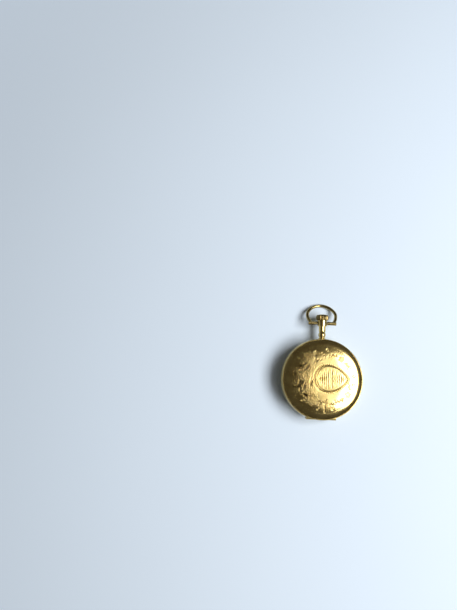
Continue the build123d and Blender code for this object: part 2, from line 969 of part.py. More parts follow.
with BuildPart() as spring_screws:
    for angle in spring_screw_angles:
        towards = heading(angle)
        head_start = spring_radius - spring_wall / 2 - screw_head_height
        middle = spring_low + spring_height / 2
        rod(
            (*polar(head_start, angle), middle),
            towards,
            screw_head_height,
            spring_screw_head_radius,
        )
        rod(
            (*polar(head_start, angle), middle),
            towards,
            band_bore + spring_screw_reach - head_start,
            screw_radius,
        )
save(spring_screws, "spring_screws")


# Main plate with the boss that guides the stem
plate_hole_radius = 2 * pivot_radius
boss_half_width = crown_skirt_radius - part_gap
foot_radius = 0.9
foot_inset = 1.8
foot_circle = bridge_radius - foot_inset
barrel_foot_angles = (212.0, 109.4, 73.0)
train_foot_angles = (17.0, -24.5, 48.9)
inner_foot = (-1.5, -5.9)
cock_foot = (-2.2, -11.2)
lever_foot_reach = 2.6
dial_foot_radius = 0.4
dial_foot_inset = 1.7
dial_foot_circle = dial_radius - dial_foot_inset
dial_foot_angles = (140.0, -45.0)
motion_wheel_height = 0.15
motion_post_radius = 0.3
barrel_feet = [polar(foot_circle, angle) for angle in barrel_foot_angles]
train_feet = [polar(foot_circle, angle) for angle in train_foot_angles] + [inner_foot]
lever_feet = [
    polar(lever_foot_reach, lever_angle + turn, lever_place) for turn in (-90, 90)
]
jewelled_plate = [third_place, escape_place, lever_place, balance_place]
jewelled_bridge = [third_place, fourth_place, escape_place]
barrel_arbor_radius = 1.25
barrel_pivot_radius = 0.8
centre_bush_radius = 0.4
winding_channel = winding_tip + part_gap
clutch_channel = winding_module * (clutch_teeth + 2) / 2 + part_gap
clutch_start = clutch_near - clutch_travel - part_gap


def keyless_channels():
    """Cuts the room for the winding pinion and the clutch in the current piece."""
    rod(
        (0, winding_pinion_near - part_gap, axis_z),
        (0, 1, 0),
        winding_pinion_length + 2 * part_gap,
        winding_channel,
        Mode.SUBTRACT,
    )
    rod(
        (0, clutch_start, axis_z),
        (0, 1, 0),
        winding_pinion_near - clutch_start,
        clutch_channel,
        Mode.SUBTRACT,
    )


with BuildPart() as main_plate:
    with BuildSketch(level(plate_low)):
        Circle(plate_radius)
    extrude(amount=plate_thickness)
    with BuildSketch(level(bridge_high + part_gap)):
        Circle(bridge_radius)
        with Locations((0, boss_near)):
            Rectangle(
                2 * boss_half_width,
                plate_radius,
                align=(Align.CENTER, Align.MIN),
                mode=Mode.INTERSECT,
            )
    extrude(amount=plate_low - bridge_high - part_gap)
    with BuildSketch(level(axis_z - stem_to_plate)):
        with Locations((0, pilot_boss_near + pilot_boss_length / 2)):
            Rectangle(2 * stem_to_plate, pilot_boss_length)
    extrude(amount=2 * stem_to_plate)
    keyless_channels()
    rod((0, boss_near, axis_z), (0, 1, 0), plate_radius, stem_radius + running_gap, Mode.SUBTRACT)
    rod(
        (0, pilot_boss_near - cut_over, axis_z),
        (0, 1, 0),
        pilot_boss_length + 2 * cut_over,
        stem_pilot_radius + running_gap,
        Mode.SUBTRACT,
    )
    for place in jewelled_plate + [fourth_place]:
        post(place, plate_low, plate_high, plate_hole_radius, Mode.SUBTRACT)
        post(place, plate_low, plate_low + jewel_thickness, jewel_radius, Mode.SUBTRACT)
    post(centre_place, plate_low, plate_high, centre_bush_radius, Mode.SUBTRACT)
    post(barrel_place, plate_low, plate_high, barrel_pivot_radius + running_gap, Mode.SUBTRACT)
    for place in barrel_feet + train_feet + lever_feet + [cock_foot]:
        post(place, plate_low, plate_low + screw_depth, screw_radius + fit_gap, Mode.SUBTRACT)
    for angle in case_screw_angles:
        post(
            polar(case_screw_radius, angle),
            plate_low,
            plate_low + screw_depth,
            screw_radius + fit_gap,
            Mode.SUBTRACT,
        )
    for angle in dial_foot_angles:
        post(
            polar(dial_foot_circle, angle),
            plate_low,
            plate_high,
            dial_foot_radius + fit_gap,
            Mode.SUBTRACT,
        )
    for place in (minute_place, setting_place):
        post(place, plate_high, dial_low - part_gap, motion_post_radius)
save(main_plate, "main_plate")


# Bridges, each on feet that reach the main plate
divide_point = (-1.0, 0)
divide_angle = 58.4
bridge_gap = 0.2
train_bridge_edge = -7.5
balance_room = 0.4
crown_wheel_seat_radius = 1.2
click_reach = 6.9
click_angle = 236.0
click_place = polar(click_reach, click_angle, barrel_place)


def bridge_feet(places):
    """Feet from the current bridge down to the main plate, with their screw holes."""
    for place in places:
        post(place, bridge_high, plate_low, foot_radius)
    for place in places:
        post(place, bridge_low, plate_low, screw_radius + fit_gap, Mode.SUBTRACT)


with BuildPart() as barrel_bridge:
    with BuildSketch(level(bridge_low)):
        Circle(bridge_radius)
        Polygon(
            *half_plane(
                polar(bridge_gap / 2, divide_angle + 90, divide_point),
                divide_angle,
                3 * bridge_radius,
                -1,
            ),
            align=None,
            mode=Mode.SUBTRACT,
        )
    extrude(amount=bridge_thickness)
    post(
        crown_wheel_place, crown_wheel_low - running_gap, bridge_low, crown_wheel_seat_radius
    )
    bridge_feet(barrel_feet)
    keyless_channels()
    post(barrel_place, bridge_low, bridge_high, barrel_pivot_radius + running_gap, Mode.SUBTRACT)
    for place in (crown_wheel_place, click_place):
        post(
            place, bridge_low - cut_over, bridge_high, screw_radius + fit_gap, Mode.SUBTRACT
        )
save(barrel_bridge, "barrel_bridge")

with BuildPart() as train_bridge:
    with BuildSketch(level(bridge_low)):
        Circle(bridge_radius)
        Polygon(
            *half_plane(
                polar(bridge_gap / 2, divide_angle - 90, divide_point),
                divide_angle,
                3 * bridge_radius,
                1,
            ),
            align=None,
            mode=Mode.SUBTRACT,
        )
        with Locations((0, train_bridge_edge)):
            Rectangle(
                3 * bridge_radius,
                bridge_radius,
                align=(Align.CENTER, Align.MAX),
                mode=Mode.SUBTRACT,
            )
        with Locations(balance_place):
            Circle(balance_radius + balance_room, mode=Mode.SUBTRACT)
    extrude(amount=bridge_thickness)
    bridge_feet(train_feet)
    keyless_channels()
    for place in jewelled_bridge:
        post(place, bridge_low, bridge_high, plate_hole_radius, Mode.SUBTRACT)
        post(place, bridge_high - jewel_thickness, bridge_high, jewel_radius, Mode.SUBTRACT)
    post(centre_place, bridge_low, bridge_high, centre_bush_radius, Mode.SUBTRACT)
save(train_bridge, "train_bridge")

cock_high = bridge_low - part_gap
cock_thickness = 0.6
cock_low = cock_high - cock_thickness
cock_foot_radius = 1.5
cock_head_radius = 1.3
regulator_seat_radius = 0.7
regulator_wall = 0.35
regulator_height = 0.2
regulator_reach = 3.4

with BuildPart() as balance_cock:
    with BuildSketch(level(cock_low)):
        with BuildLine():
            across = direction(cock_foot, balance_place)
            for turn in (90, -90):
                Line(
                    polar(cock_foot_radius, across + turn, cock_foot),
                    polar(cock_head_radius, across + turn, balance_place),
                )
            Line(
                polar(cock_foot_radius, across + 90, cock_foot),
                polar(cock_foot_radius, across - 90, cock_foot),
            )
            Line(
                polar(cock_head_radius, across + 90, balance_place),
                polar(cock_head_radius, across - 90, balance_place),
            )
        make_face()
        with Locations(cock_foot):
            Circle(cock_foot_radius)
        with Locations(balance_place):
            Circle(cock_head_radius)
    extrude(amount=cock_thickness)
    post(cock_foot, cock_high, plate_low, cock_foot_radius)
    post(
        balance_place,
        cock_low - regulator_height - 2 * running_gap,
        cock_low,
        regulator_seat_radius,
    )
    post(
        balance_place,
        cock_low - regulator_height - 2 * running_gap,
        cock_high,
        plate_hole_radius,
        Mode.SUBTRACT,
    )
    post(balance_place, cock_high - jewel_thickness, cock_high, jewel_radius, Mode.SUBTRACT)
    post(cock_foot, cock_low, plate_low, screw_radius + fit_gap, Mode.SUBTRACT)
save(balance_cock, "balance_cock")

with BuildPart() as regulator:
    with BuildSketch(level(cock_low - regulator_height - running_gap)):
        with Locations(balance_place):
            Circle(regulator_seat_radius + running_gap + regulator_wall)
        with Locations(Location((*balance_place, 0), lever_angle)):
            Polygon(
                (0, regulator_wall),
                (0, -regulator_wall),
                (regulator_reach, -regulator_wall / 3),
                (regulator_reach, regulator_wall / 3),
                align=None,
            )
        with Locations(balance_place):
            Circle(regulator_seat_radius + running_gap, mode=Mode.SUBTRACT)
    extrude(amount=regulator_height)
save(regulator, "regulator")


# Levels of the train between the bridges and the main plate
light_wheel_thickness = 0.2
centre_wheel_low = bridge_high + part_gap
centre_wheel_high = centre_wheel_low + train_wheel_thickness
barrel_low = centre_wheel_high + 1.5 * part_gap
barrel_high = plate_low - 1.5 * part_gap
fourth_wheel_low = centre_wheel_high + 3 * part_gap
third_wheel_low = plate_low - 4 * train_wheel_thickness
escape_wheel_low = third_wheel_low + part_gap
lever_low = third_wheel_low + part_gap / 2
lever_thickness = 0.3
balance_low = bridge_high - 1.5 * part_gap
balance_high = balance_low + balance_thickness
lever_cock_low = balance_high + 3.5 * part_gap
lever_cock_thickness = 0.45
lever_cock_half_width = 0.65
lever_head_height = 0.2

with BuildPart() as pallet_cock:
    with BuildSketch(level(lever_cock_low)):
        with Locations(Location((*lever_place, 0), lever_angle)):
            Rectangle(2 * lever_cock_half_width, 2 * lever_foot_reach)
        with Locations(*lever_feet):
            Circle(lever_cock_half_width)
    extrude(amount=lever_cock_thickness)
    for place in lever_feet:
        post(place, lever_cock_low + lever_cock_thickness, plate_low, lever_cock_half_width)
    for place in lever_feet:
        post(place, lever_cock_low, plate_low, screw_radius + fit_gap, Mode.SUBTRACT)
    lever_cock_high = lever_cock_low + lever_cock_thickness
    post(lever_place, lever_cock_low, lever_cock_high, plate_hole_radius, Mode.SUBTRACT)
    post(
        lever_place, lever_cock_high - jewel_thickness, lever_cock_high, jewel_radius, Mode.SUBTRACT
    )
save(pallet_cock, "pallet_cock")


# Screws and jewels, each kind in one group
def slotted_screw(place, seat, end, head_height=screw_head_height, head_radius=screw_head_radius):
    """Screw whose head stands on a seat and whose shank runs on to an end."""
    slotted_head(place, seat - head_height, head_height, head_radius)
    post(place, seat, end, screw_radius)


with BuildPart() as bridge_screws:
    for place in barrel_feet + train_feet:
        slotted_screw(place, bridge_low, plate_low + screw_depth)
    slotted_screw(cock_foot, cock_low, plate_low + screw_depth)
    for place in lever_feet:
        slotted_screw(
            place,
            lever_cock_low,
            plate_low + screw_depth,
            lever_head_height,
            lever_cock_half_width,
        )
save(bridge_screws, "bridge_screws")

with BuildPart() as case_screws:
    for angle in case_screw_angles:
        slotted_screw(
            polar(case_screw_radius, angle),
            plate_low - ledge_height,
            plate_low + screw_depth,
            screw_head_height,
            case_screw_head_radius,
        )
save(case_screws, "case_screws")


def jewel(place, low):
    """Ring-shaped stone with the hole for a pivot."""
    post(place, low, low + jewel_thickness, jewel_radius - fit_gap)
    post(place, low, low + jewel_thickness, pivot_radius + running_gap / 2, Mode.SUBTRACT)


with BuildPart() as plate_jewels:
    for place in jewelled_plate + [fourth_place]:
        jewel(place, plate_low)
save(plate_jewels, "plate_jewels")

with BuildPart() as bridge_jewels:
    for place in jewelled_bridge:
        jewel(place, bridge_high - jewel_thickness)
    jewel(balance_place, cock_high - jewel_thickness)
    jewel(lever_place, lever_cock_high - jewel_thickness)
save(bridge_jewels, "bridge_jewels")


# Barrel with its mainspring, and the arbor that the ratchet wheel turns
def spiral_strip(place, first_radius, pitch, half_turns, thickness, low, height):
    """Flat spring wound from half circles on two centres."""
    with BuildPart() as strip:
        with BuildSketch(level(low)):
            with BuildLine():
                for side in (-1, 1):
                    for turn in range(half_turns):
                        shift = pitch / 2 if turn % 2 else 0
                        CenterArc(
                            (place[0] + shift, place[1]),
                            first_radius + turn * pitch / 2 + side * thickness / 2,
                            180 * (turn % 2),
                            180,
                        )
                last_radius = first_radius + half_turns * pitch / 2
                last_centre = place[0] + (pitch / 2 if half_turns % 2 else 0)
                last_x = last_centre + (-last_radius if half_turns % 2 else last_radius)
                for x in (place[0] + first_radius, last_x):
                    Line((x - thickness / 2, place[1]), (x + thickness / 2, place[1]))
            make_face()
        extrude(amount=height)
    return strip.part


drum_inset = 0.396
drum_radius = barrel_module * barrel_teeth / 2 - drum_inset
drum_bore = drum_radius - barrel_wall
drum_floor_high = barrel_low + barrel_wall
drum_cover_low = barrel_high - barrel_wall
mainspring_thickness = 0.12
mainspring_turns = 20
mainspring_low = drum_floor_high + part_gap
mainspring_height = drum_cover_low - part_gap - mainspring_low
mainspring_pitch = (
    2 * (drum_bore - barrel_arbor_radius - 3 * part_gap - mainspring_thickness) / mainspring_turns
)

with BuildPart() as barrel_drum:
    with BuildSketch(level(barrel_low)):
        with Locations(barrel_place):
            Polygon(
                *tooth_outline(barrel_teeth, barrel_module, barrel_angle + 180), align=None
            )
    extrude(amount=barrel_tooth_height)
    post(barrel_place, barrel_low, barrel_high, drum_radius)
    post(barrel_place, drum_floor_high, barrel_high, drum_bore, Mode.SUBTRACT)
    post(barrel_place, barrel_low, barrel_high, barrel_pivot_radius + running_gap, Mode.SUBTRACT)
save(barrel_drum, "barrel_drum")

with BuildPart() as barrel_cover:
    post(barrel_place, drum_cover_low, barrel_high, drum_bore - fit_gap)
    post(
        barrel_place, drum_cover_low, barrel_high, barrel_pivot_radius + running_gap, Mode.SUBTRACT
    )
save(barrel_cover, "barrel_cover")

with BuildPart() as mainspring:
    add(
        spiral_strip(
            barrel_place,
            barrel_arbor_radius + part_gap + mainspring_thickness / 2,
            mainspring_pitch,
            mainspring_turns,
            mainspring_thickness,
            mainspring_low,
            mainspring_height,
        )
    )
save(mainspring, "mainspring")

ratchet_square = math.sqrt(2) * (barrel_pivot_radius - running_gap)

with BuildPart() as barrel_arbor:
    post(barrel_place, bridge_low, plate_low + screw_depth, barrel_pivot_radius)
    post(
        barrel_place,
        drum_floor_high + running_gap,
        drum_cover_low - running_gap,
        barrel_arbor_radius,
    )
    with BuildSketch(level(crown_wheel_low)):
        with Locations(barrel_place):
            Rectangle(ratchet_square, ratchet_square)
    extrude(amount=bridge_low - crown_wheel_low)
    post(barrel_place, crown_wheel_low, bridge_high, screw_radius + fit_gap, Mode.SUBTRACT)
save(barrel_arbor, "barrel_arbor")

winding_line = direction(crown_wheel_place, barrel_place)
crown_wheel_phase = winding_line
ratchet_phase = mating_phase(
    crown_wheel_place, barrel_place, crown_wheel_teeth, ratchet_teeth, crown_wheel_phase
)

with BuildPart() as ratchet_wheel:
    with BuildSketch(level(crown_wheel_low)):
        with Locations(barrel_place):
            Polygon(*tooth_outline(ratchet_teeth, winding_module, ratchet_phase), align=None)
            Rectangle(
                ratchet_square + 2 * fit_gap, ratchet_square + 2 * fit_gap, mode=Mode.SUBTRACT
            )
    extrude(amount=winding_wheel_thickness)
save(ratchet_wheel, "ratchet_wheel")

with BuildPart() as ratchet_screw:
    slotted_screw(
        barrel_place, crown_wheel_low, bridge_low, winding_cap_height, 2 * screw_head_radius
    )
save(ratchet_screw, "ratchet_screw")

with BuildPart() as crown_wheel:
    with BuildSketch(level(crown_wheel_low)):
        with Locations(crown_wheel_place):
            Polygon(
                *tooth_outline(crown_wheel_teeth, winding_module, crown_wheel_phase), align=None
            )
            Circle(crown_wheel_seat_radius + running_gap, mode=Mode.SUBTRACT)
    extrude(amount=winding_wheel_thickness)
save(crown_wheel, "crown_wheel")

ratchet_tip = winding_module * (ratchet_teeth / 2 + wheel_addendum_share)
click_ring_radius = 0.8
click_tip_angle = 262.0
click_tip_half = 0.12
click_tip = polar(ratchet_tip + click_tip_half + part_gap, click_tip_angle, barrel_place)
click_low = crown_wheel_low
click_thickness = winding_wheel_thickness
click_line = direction(click_place, click_tip)
spring_foot_reach = 2.8
spring_foot_turn = 13.0
spring_tip_reach = 1.25
spring_foot = polar(
    ratchet_tip + spring_foot_reach, click_tip_angle + spring_foot_turn, barrel_place
)
spring_tip = polar(ratchet_tip + spring_tip_reach, click_tip_angle, barrel_place)
click_spring_low = bridge_low - winding_cap_height

with BuildPart() as click:
    with BuildSketch(level(click_low)):
        with Locations(click_place):
            Circle(click_ring_radius)
        Polygon(
            polar(click_ring_radius, click_line + 90, click_place),
            polar(click_ring_radius, click_line - 90, click_place),
            polar(click_tip_half, click_line - 90, click_tip),
            polar(click_tip_half, click_line + 90, click_tip),
            align=None,
        )
        with Locations(click_place):
            Circle(screw_radius + running_gap, mode=Mode.SUBTRACT)
    extrude(amount=click_thickness)
save(click, "click")

with BuildPart() as click_spring:
    with BuildSketch(level(click_spring_low)):
        with Locations(spring_foot):
            Circle(screw_head_radius)
        spring_line = direction(spring_foot, spring_tip)
        Polygon(
            polar(part_gap, spring_line + 90, spring_foot),
            polar(part_gap, spring_line - 90, spring_foot),
            polar(part_gap / 2, spring_line - 90, spring_tip),
            polar(part_gap / 2, spring_line + 90, spring_tip),
            align=None,
        )
        with Locations(spring_foot):
            Circle(screw_radius + fit_gap, mode=Mode.SUBTRACT)
    extrude(amount=winding_cap_height)
save(click_spring, "click_spring")

with BuildPart() as winding_screws:
    slotted_screw(
        crown_wheel_place,
        crown_wheel_low - running_gap,
        bridge_low + part_gap,
        winding_cap_height,
        crown_wheel_seat_radius + 4 * part_gap,
    )
    slotted_screw(click_place, click_low - running_gap, bridge_high, winding_cap_height)
    slotted_screw(spring_foot, click_spring_low, bridge_low, winding_cap_height)
save(winding_screws, "winding_screws")


# Going train: each arbor carries its own leaves, and its wheel is pressed on
pivot_low = bridge_high - jewel_thickness
pivot_high = plate_low + jewel_thickness
light_rim = 0.35
hub_radius = 0.6
arm_width = 0.3
wheel_arms = 5


def train_arbor(place, low, high, teeth, module, phase, leaf_low, leaf_high):
    """Arbor between two pivots with a run of leaves cut on it."""
    with BuildPart() as arbor:
        post(place, low, high, pivot_radius)
        post(place, bridge_high + part_gap / 4, plate_low - part_gap / 4, arbor_radius)
        with BuildSketch(level(leaf_low)):
            with Locations(place):
                Polygon(*leaf_outline(teeth, module, phase), align=None)
        extrude(amount=leaf_high - leaf_low)
    return arbor


def train_wheel(place, teeth, module, phase, low, thickness, bore):
    """Wheel with arms, bored for its arbor."""
    with BuildPart() as wheel:
        with BuildSketch(level(low)):
            rim_inner = module * (teeth / 2 - wheel_dedendum_share) - light_rim
            crossed_wheel(
                place,
                tooth_outline(teeth, module, phase),
                rim_inner,
                hub_radius,
                wheel_arms,
                arm_width,
            )
            with Locations(place):
                Circle(bore, mode=Mode.SUBTRACT)
        extrude(amount=thickness)
    return wheel


cannon_radius = 0.45
cannon_bore = 0.22
third_line = direction(centre_place, third_place)
fourth_line = direction(third_place, fourth_place)
barrel_line = direction(barrel_place, centre_place)

with BuildPart() as centre_arbor:
    post(centre_place, pivot_low, plate_high, centre_bush_radius - running_gap)
    post(centre_place, bridge_high + part_gap / 2, plate_low - part_gap / 2, hub_radius)
    post(centre_place, plate_high, minute_hand_low + hand_thickness, cannon_bore - fit_gap)
    with BuildSketch(level(centre_wheel_high + part_gap)):
        phase = mating_phase(
            barrel_place, centre_place, barrel_teeth, centre_leaves, barrel_angle + 180
        )
        Polygon(*leaf_outline(centre_leaves, barrel_module, phase), align=None)
    extrude(amount=plate_low - part_gap - centre_wheel_high - part_gap)
save(centre_arbor, "centre_arbor")

with BuildPart() as centre_wheel:
    with BuildSketch(level(centre_wheel_low)):
        crossed_wheel(
            centre_place,
            tooth_outline(centre_teeth, centre_module, third_line),
            centre_module * (centre_teeth / 2 - wheel_dedendum_share) - light_rim,
            2 * hub_radius,
            wheel_arms,
            arm_width,
        )
        Circle(hub_radius + fit_gap, mode=Mode.SUBTRACT)
    extrude(amount=train_wheel_thickness)
save(centre_wheel, "centre_wheel")

third_arbor = train_arbor(
    third_place,
    pivot_low,
    pivot_high,
    third_leaves,
    centre_module,
    mating_phase(centre_place, third_place, centre_teeth, third_leaves, third_line),
    bridge_high + part_gap / 2,
    third_wheel_low - part_gap,
)
save(third_arbor, "third_arbor")

third_wheel = train_wheel(
    third_place,
    third_teeth,
    third_module,
    fourth_line,
    third_wheel_low,
    light_wheel_thickness,
    arbor_radius + fit_gap,
)
save(third_wheel, "third_wheel")

fourth_arbor = train_arbor(
    fourth_place,
    pivot_low,
    seconds_hand_low + hand_thickness,
    fourth_leaves,
    third_module,
    mating_phase(third_place, fourth_place, third_teeth, fourth_leaves, fourth_line),
    fourth_wheel_low + light_wheel_thickness + part_gap,
    plate_low - 5 * part_gap,
)
save(fourth_arbor, "fourth_arbor")

fourth_wheel = train_wheel(
    fourth_place,
    fourth_teeth,
    fourth_module,
    escape_angle,
    fourth_wheel_low,
    light_wheel_thickness,
    arbor_radius + fit_gap,
)
save(fourth_wheel, "fourth_wheel")

escape_arbor = train_arbor(
    escape_place,
    pivot_low,
    pivot_high,
    escape_leaves,
    fourth_module,
    mating_phase(fourth_place, escape_place, fourth_teeth, escape_leaves, escape_angle),
    fourth_wheel_low - part_gap,
    fourth_wheel_low + light_wheel_thickness + part_gap,
)
save(escape_arbor, "escape_arbor")

escape_tooth_depth = 0.55
escape_rim_inner = 1.32
escape_hub_radius = 0.48
escape_arm_width = 0.24

with BuildPart() as escape_wheel:
    with BuildSketch(level(escape_wheel_low)):
        crossed_wheel(
            escape_place,
            saw_outline(escape_teeth, escape_radius, escape_tooth_depth, escape_angle),
            escape_rim_inner,
            escape_hub_radius,
            wheel_arms,
            escape_arm_width,
        )
        with Locations(escape_place):
            Circle(arbor_radius + fit_gap, mode=Mode.SUBTRACT)
    extrude(amount=light_wheel_thickness)
save(escape_wheel, "escape_wheel")


# Lever with its two stones
stone_angle = 32.0
stone_start = 0.2
stone_length = 0.45
stone_width = 0.22
lever_hub_radius = 0.3
lever_arbor_radius = 0.2
lever_arm_width = 0.26
fork_gap = 0.65
fork_half_width = 0.12
fork_horn_length = 0.4
fork_horn_spread = 0.35
stone_middle = escape_radius + stone_start + stone_length / 2
stone_bearings = [lever_angle - stone_angle, lever_angle + stone_angle]
fork_end = balance_distance - lever_distance - fork_gap


def stone_shape(margin):
    """Both stones, drawn with a margin in the current sketch."""
    for bearing in stone_bearings:
        with Locations(Location((*polar(stone_middle, bearing, escape_place), 0), bearing)):
            Rectangle(stone_length + 2 * margin, stone_width + 2 * margin)


with BuildPart() as pallet_fork:
    with BuildSketch(level(lever_low)):
        with Locations(lever_place):
            Circle(lever_hub_radius)
        with Locations(Location((*lever_place, 0), lever_angle)):
            Polygon(
                (0, fork_half_width),
                (0, -fork_half_width),
                (fork_end - fork_horn_length, -fork_half_width),
                (fork_end, -fork_horn_spread),
                (fork_end, -fork_half_width),
                (fork_end - fork_horn_length / 2, 0),
                (fork_end, fork_half_width),
                (fork_end, fork_horn_spread),
                (fork_end - fork_horn_length, fork_half_width),
                align=None,
            )
        for bearing in stone_bearings:
            stone_place = polar(stone_middle, bearing, escape_place)
            arm_line = direction(lever_place, stone_place)
            Polygon(
                polar(lever_arm_width / 2, arm_line + 90, lever_place),
                polar(lever_arm_width / 2, arm_line - 90, lever_place),
                polar(lever_arm_width / 2, arm_line - 90, stone_place),
                polar(lever_arm_width / 2, arm_line + 90, stone_place),
                align=None,
            )
    extrude(amount=lever_thickness)
    with BuildSketch(level(lever_low)):
        stone_shape(fit_gap)
    extrude(amount=lever_thickness, mode=Mode.SUBTRACT)
    post(
        lever_place, lever_cock_high + part_gap / 4, plate_low - part_gap / 4, lever_arbor_radius
    )
    post(lever_place, lever_cock_high - jewel_thickness, pivot_high, pivot_radius)
save(pallet_fork, "pallet_fork")

with BuildPart() as pallet_stones:
    with BuildSketch(level(lever_low)):
        stone_shape(0)
    extrude(amount=lever_thickness)
save(pallet_stones, "pallet_stones")


# Balance with its staff, roller and hairspring
balance_rim_wall = 0.4
balance_screws = 12
balance_screw_radius = 0.16
balance_screw_length = 0.3
balance_rim_radius = balance_radius - balance_screw_length
roller_radius = 0.8
roller_thickness = 0.15
roller_low = lever_low - 4 * part_gap
impulse_reach = 0.6
hairspring_thickness = 0.06
hairspring_height = 0.12
hairspring_low = balance_low - 3.5 * part_gap
hairspring_turns = 16
hairspring_first = 0.55
hairspring_pitch = 0.26
balance_arm_angle = direction(balance_place, cock_foot)

with BuildPart() as balance_wheel:
    with BuildSketch(level(balance_low)):
        with Locations(balance_place):
            Circle(balance_rim_radius)
            Circle(balance_rim_radius - balance_rim_wall, mode=Mode.SUBTRACT)
            Circle(2 * arbor_radius)
        with Locations(Location((*balance_place, 0), balance_arm_angle)):
            Rectangle(2 * balance_rim_radius - balance_rim_wall, 2 * arm_width)
        with Locations(balance_place):
            Circle(arbor_radius + fit_gap, mode=Mode.SUBTRACT)
    extrude(amount=balance_thickness)
    for number in range(balance_screws):
        bearing = balance_arm_angle + 360 * (number + 0.5) / balance_screws
        rod(
            (
                *polar(balance_rim_radius - balance_rim_wall / 2, bearing, balance_place),
                balance_low + balance_thickness / 2,
            ),
            heading(bearing),
            balance_rim_wall / 2 + balance_screw_length,
            balance_screw_radius,
        )
save(balance_wheel, "balance_wheel")

with BuildPart() as balance_staff:
    post(balance_place, cock_high - jewel_thickness, pivot_high, pivot_radius)
    post(balance_place, cock_high + part_gap / 4, plate_low - part_gap / 4, arbor_radius)
    post(balance_place, roller_low, roller_low + roller_thickness, roller_radius)
    post(
        polar(impulse_reach, lever_angle + 180, balance_place),
        roller_low,
        lever_low - part_gap / 2,
        pivot_radius,
    )
    post(
        balance_place,
        hairspring_low - part_gap / 2,
        hairspring_low + hairspring_height + part_gap / 2,
        hairspring_first - part_gap,
    )
save(balance_staff, "balance_staff")

with BuildPart() as hairspring:
    add(
        spiral_strip(
            balance_place,
            hairspring_first,
            hairspring_pitch,
            hairspring_turns,
            hairspring_thickness,
            hairspring_low,
            hairspring_height,
        ).rotate(Axis((*balance_place, 0), (0, 0, 1)), balance_arm_angle)
    )
save(hairspring, "hairspring")


# Motion work under the dial
motion_low = plate_high + part_gap / 2
hour_wheel_low = motion_low + motion_wheel_height + part_gap
minute_leaf_low = motion_low + motion_wheel_height
minute_leaf_high = dial_low - part_gap
hour_wheel_high = dial_low - part_gap
hour_pipe_bore = cannon_radius + running_gap
hour_pipe_radius = hour_pipe_bore + 2 * part_gap
minute_phase = mating_phase(centre_place, minute_place, cannon_leaves, minute_teeth, minute_angle)
setting_phase = mating_phase(
    minute_place, setting_place, minute_teeth, setting_teeth, minute_phase
)

with BuildPart() as cannon_pinion:
    with BuildSketch(level(motion_low)):
        Polygon(*leaf_outline(cannon_leaves, motion_module, minute_angle), align=None)
    extrude(amount=motion_wheel_height)
    post(centre_place, motion_low, minute_hand_low + hand_thickness, cannon_radius)
    post(
        centre_place, motion_low, minute_hand_low + hand_thickness, cannon_bore, Mode.SUBTRACT
    )
save(cannon_pinion, "cannon_pinion")

with BuildPart() as minute_wheel:
    with BuildSketch(level(motion_low)):
        with Locations(minute_place):
            Polygon(*tooth_outline(minute_teeth, motion_module, minute_phase), align=None)
    extrude(amount=motion_wheel_height)
    with BuildSketch(level(minute_leaf_low)):
        with Locations(minute_place):
            Polygon(
                *leaf_outline(minute_leaves, hour_module, minute_angle + 180),
                align=None,
            )
    extrude(amount=minute_leaf_high - minute_leaf_low)
    post(minute_place, motion_low, dial_low, motion_post_radius + running_gap, Mode.SUBTRACT)
save(minute_wheel, "minute_wheel")

with BuildPart() as hour_wheel:
    with BuildSketch(level(hour_wheel_low)):
        phase = mating_phase(
            minute_place, centre_place, minute_leaves, hour_teeth, minute_angle + 180
        )
        Polygon(*tooth_outline(hour_teeth, hour_module, phase), align=None)
    extrude(amount=hour_wheel_high - hour_wheel_low)
    post(centre_place, hour_wheel_low, hour_hand_low + hand_thickness, hour_pipe_radius)
    post(
        centre_place,
        hour_wheel_low,
        hour_hand_low + hand_thickness,
        hour_pipe_bore,
        Mode.SUBTRACT,
    )
save(hour_wheel, "hour_wheel")

with BuildPart() as setting_wheel:
    with BuildSketch(level(motion_low)):
        with Locations(setting_place):
            Polygon(*tooth_outline(setting_teeth, motion_module, setting_phase), align=None)
            Circle(motion_post_radius + running_gap, mode=Mode.SUBTRACT)
    extrude(amount=motion_wheel_height)
save(setting_wheel, "setting_wheel")


# Dial and hands, with the crown at three and the hinge at nine
subdial_radius = 3.1
subdial_depth = 0.12
twelve_angle = 180.0
hour_reading = 305.0
minute_reading = 60.0
seconds_reading = 210.0
hour_hand_length = 7.4
minute_hand_length = 11.6
seconds_hand_length = 2.5
seconds_hand_tail = 0.9
hand_width = 0.55
hand_eye_radius = 0.75
hand_point_share = 0.85
hour_eye_share = 0.7
minute_eye_share = 0.78

with BuildPart() as dial:
    post(centre_place, dial_low, dial_high, dial_radius)
    post(fourth_place, dial_high - subdial_depth, dial_high, subdial_radius, Mode.SUBTRACT)
    post(centre_place, dial_low, dial_high, hour_pipe_radius + part_gap, Mode.SUBTRACT)
    post(fourth_place, dial_low, dial_high, pivot_radius + part_gap, Mode.SUBTRACT)
    for angle in dial_foot_angles:
        post(
            polar(dial_foot_circle, angle), plate_low + jewel_thickness, dial_low, dial_foot_radius
        )
save(dial, "dial")


def hand(label, place, reading, low, length, hub, bore, eye_share):
    """Spade hand that points to a reading in degrees clockwise from twelve."""
    eye = length * eye_share
    with BuildPart() as pointer:
        with BuildSketch(level(low)):
            with Locations(Location((*place, 0), twelve_angle - reading)):
                Polygon(
                    (0, hand_width / 2),
                    (0, -hand_width / 2),
                    (length * hand_point_share, -hand_width / 4),
                    (length, 0),
                    (length * hand_point_share, hand_width / 4),
                    align=None,
                )
                with Locations((eye, 0)):
                    Circle(hand_eye_radius)
                Circle(hub)
                Circle(bore, mode=Mode.SUBTRACT)
        extrude(amount=hand_thickness)
    save(pointer, label)


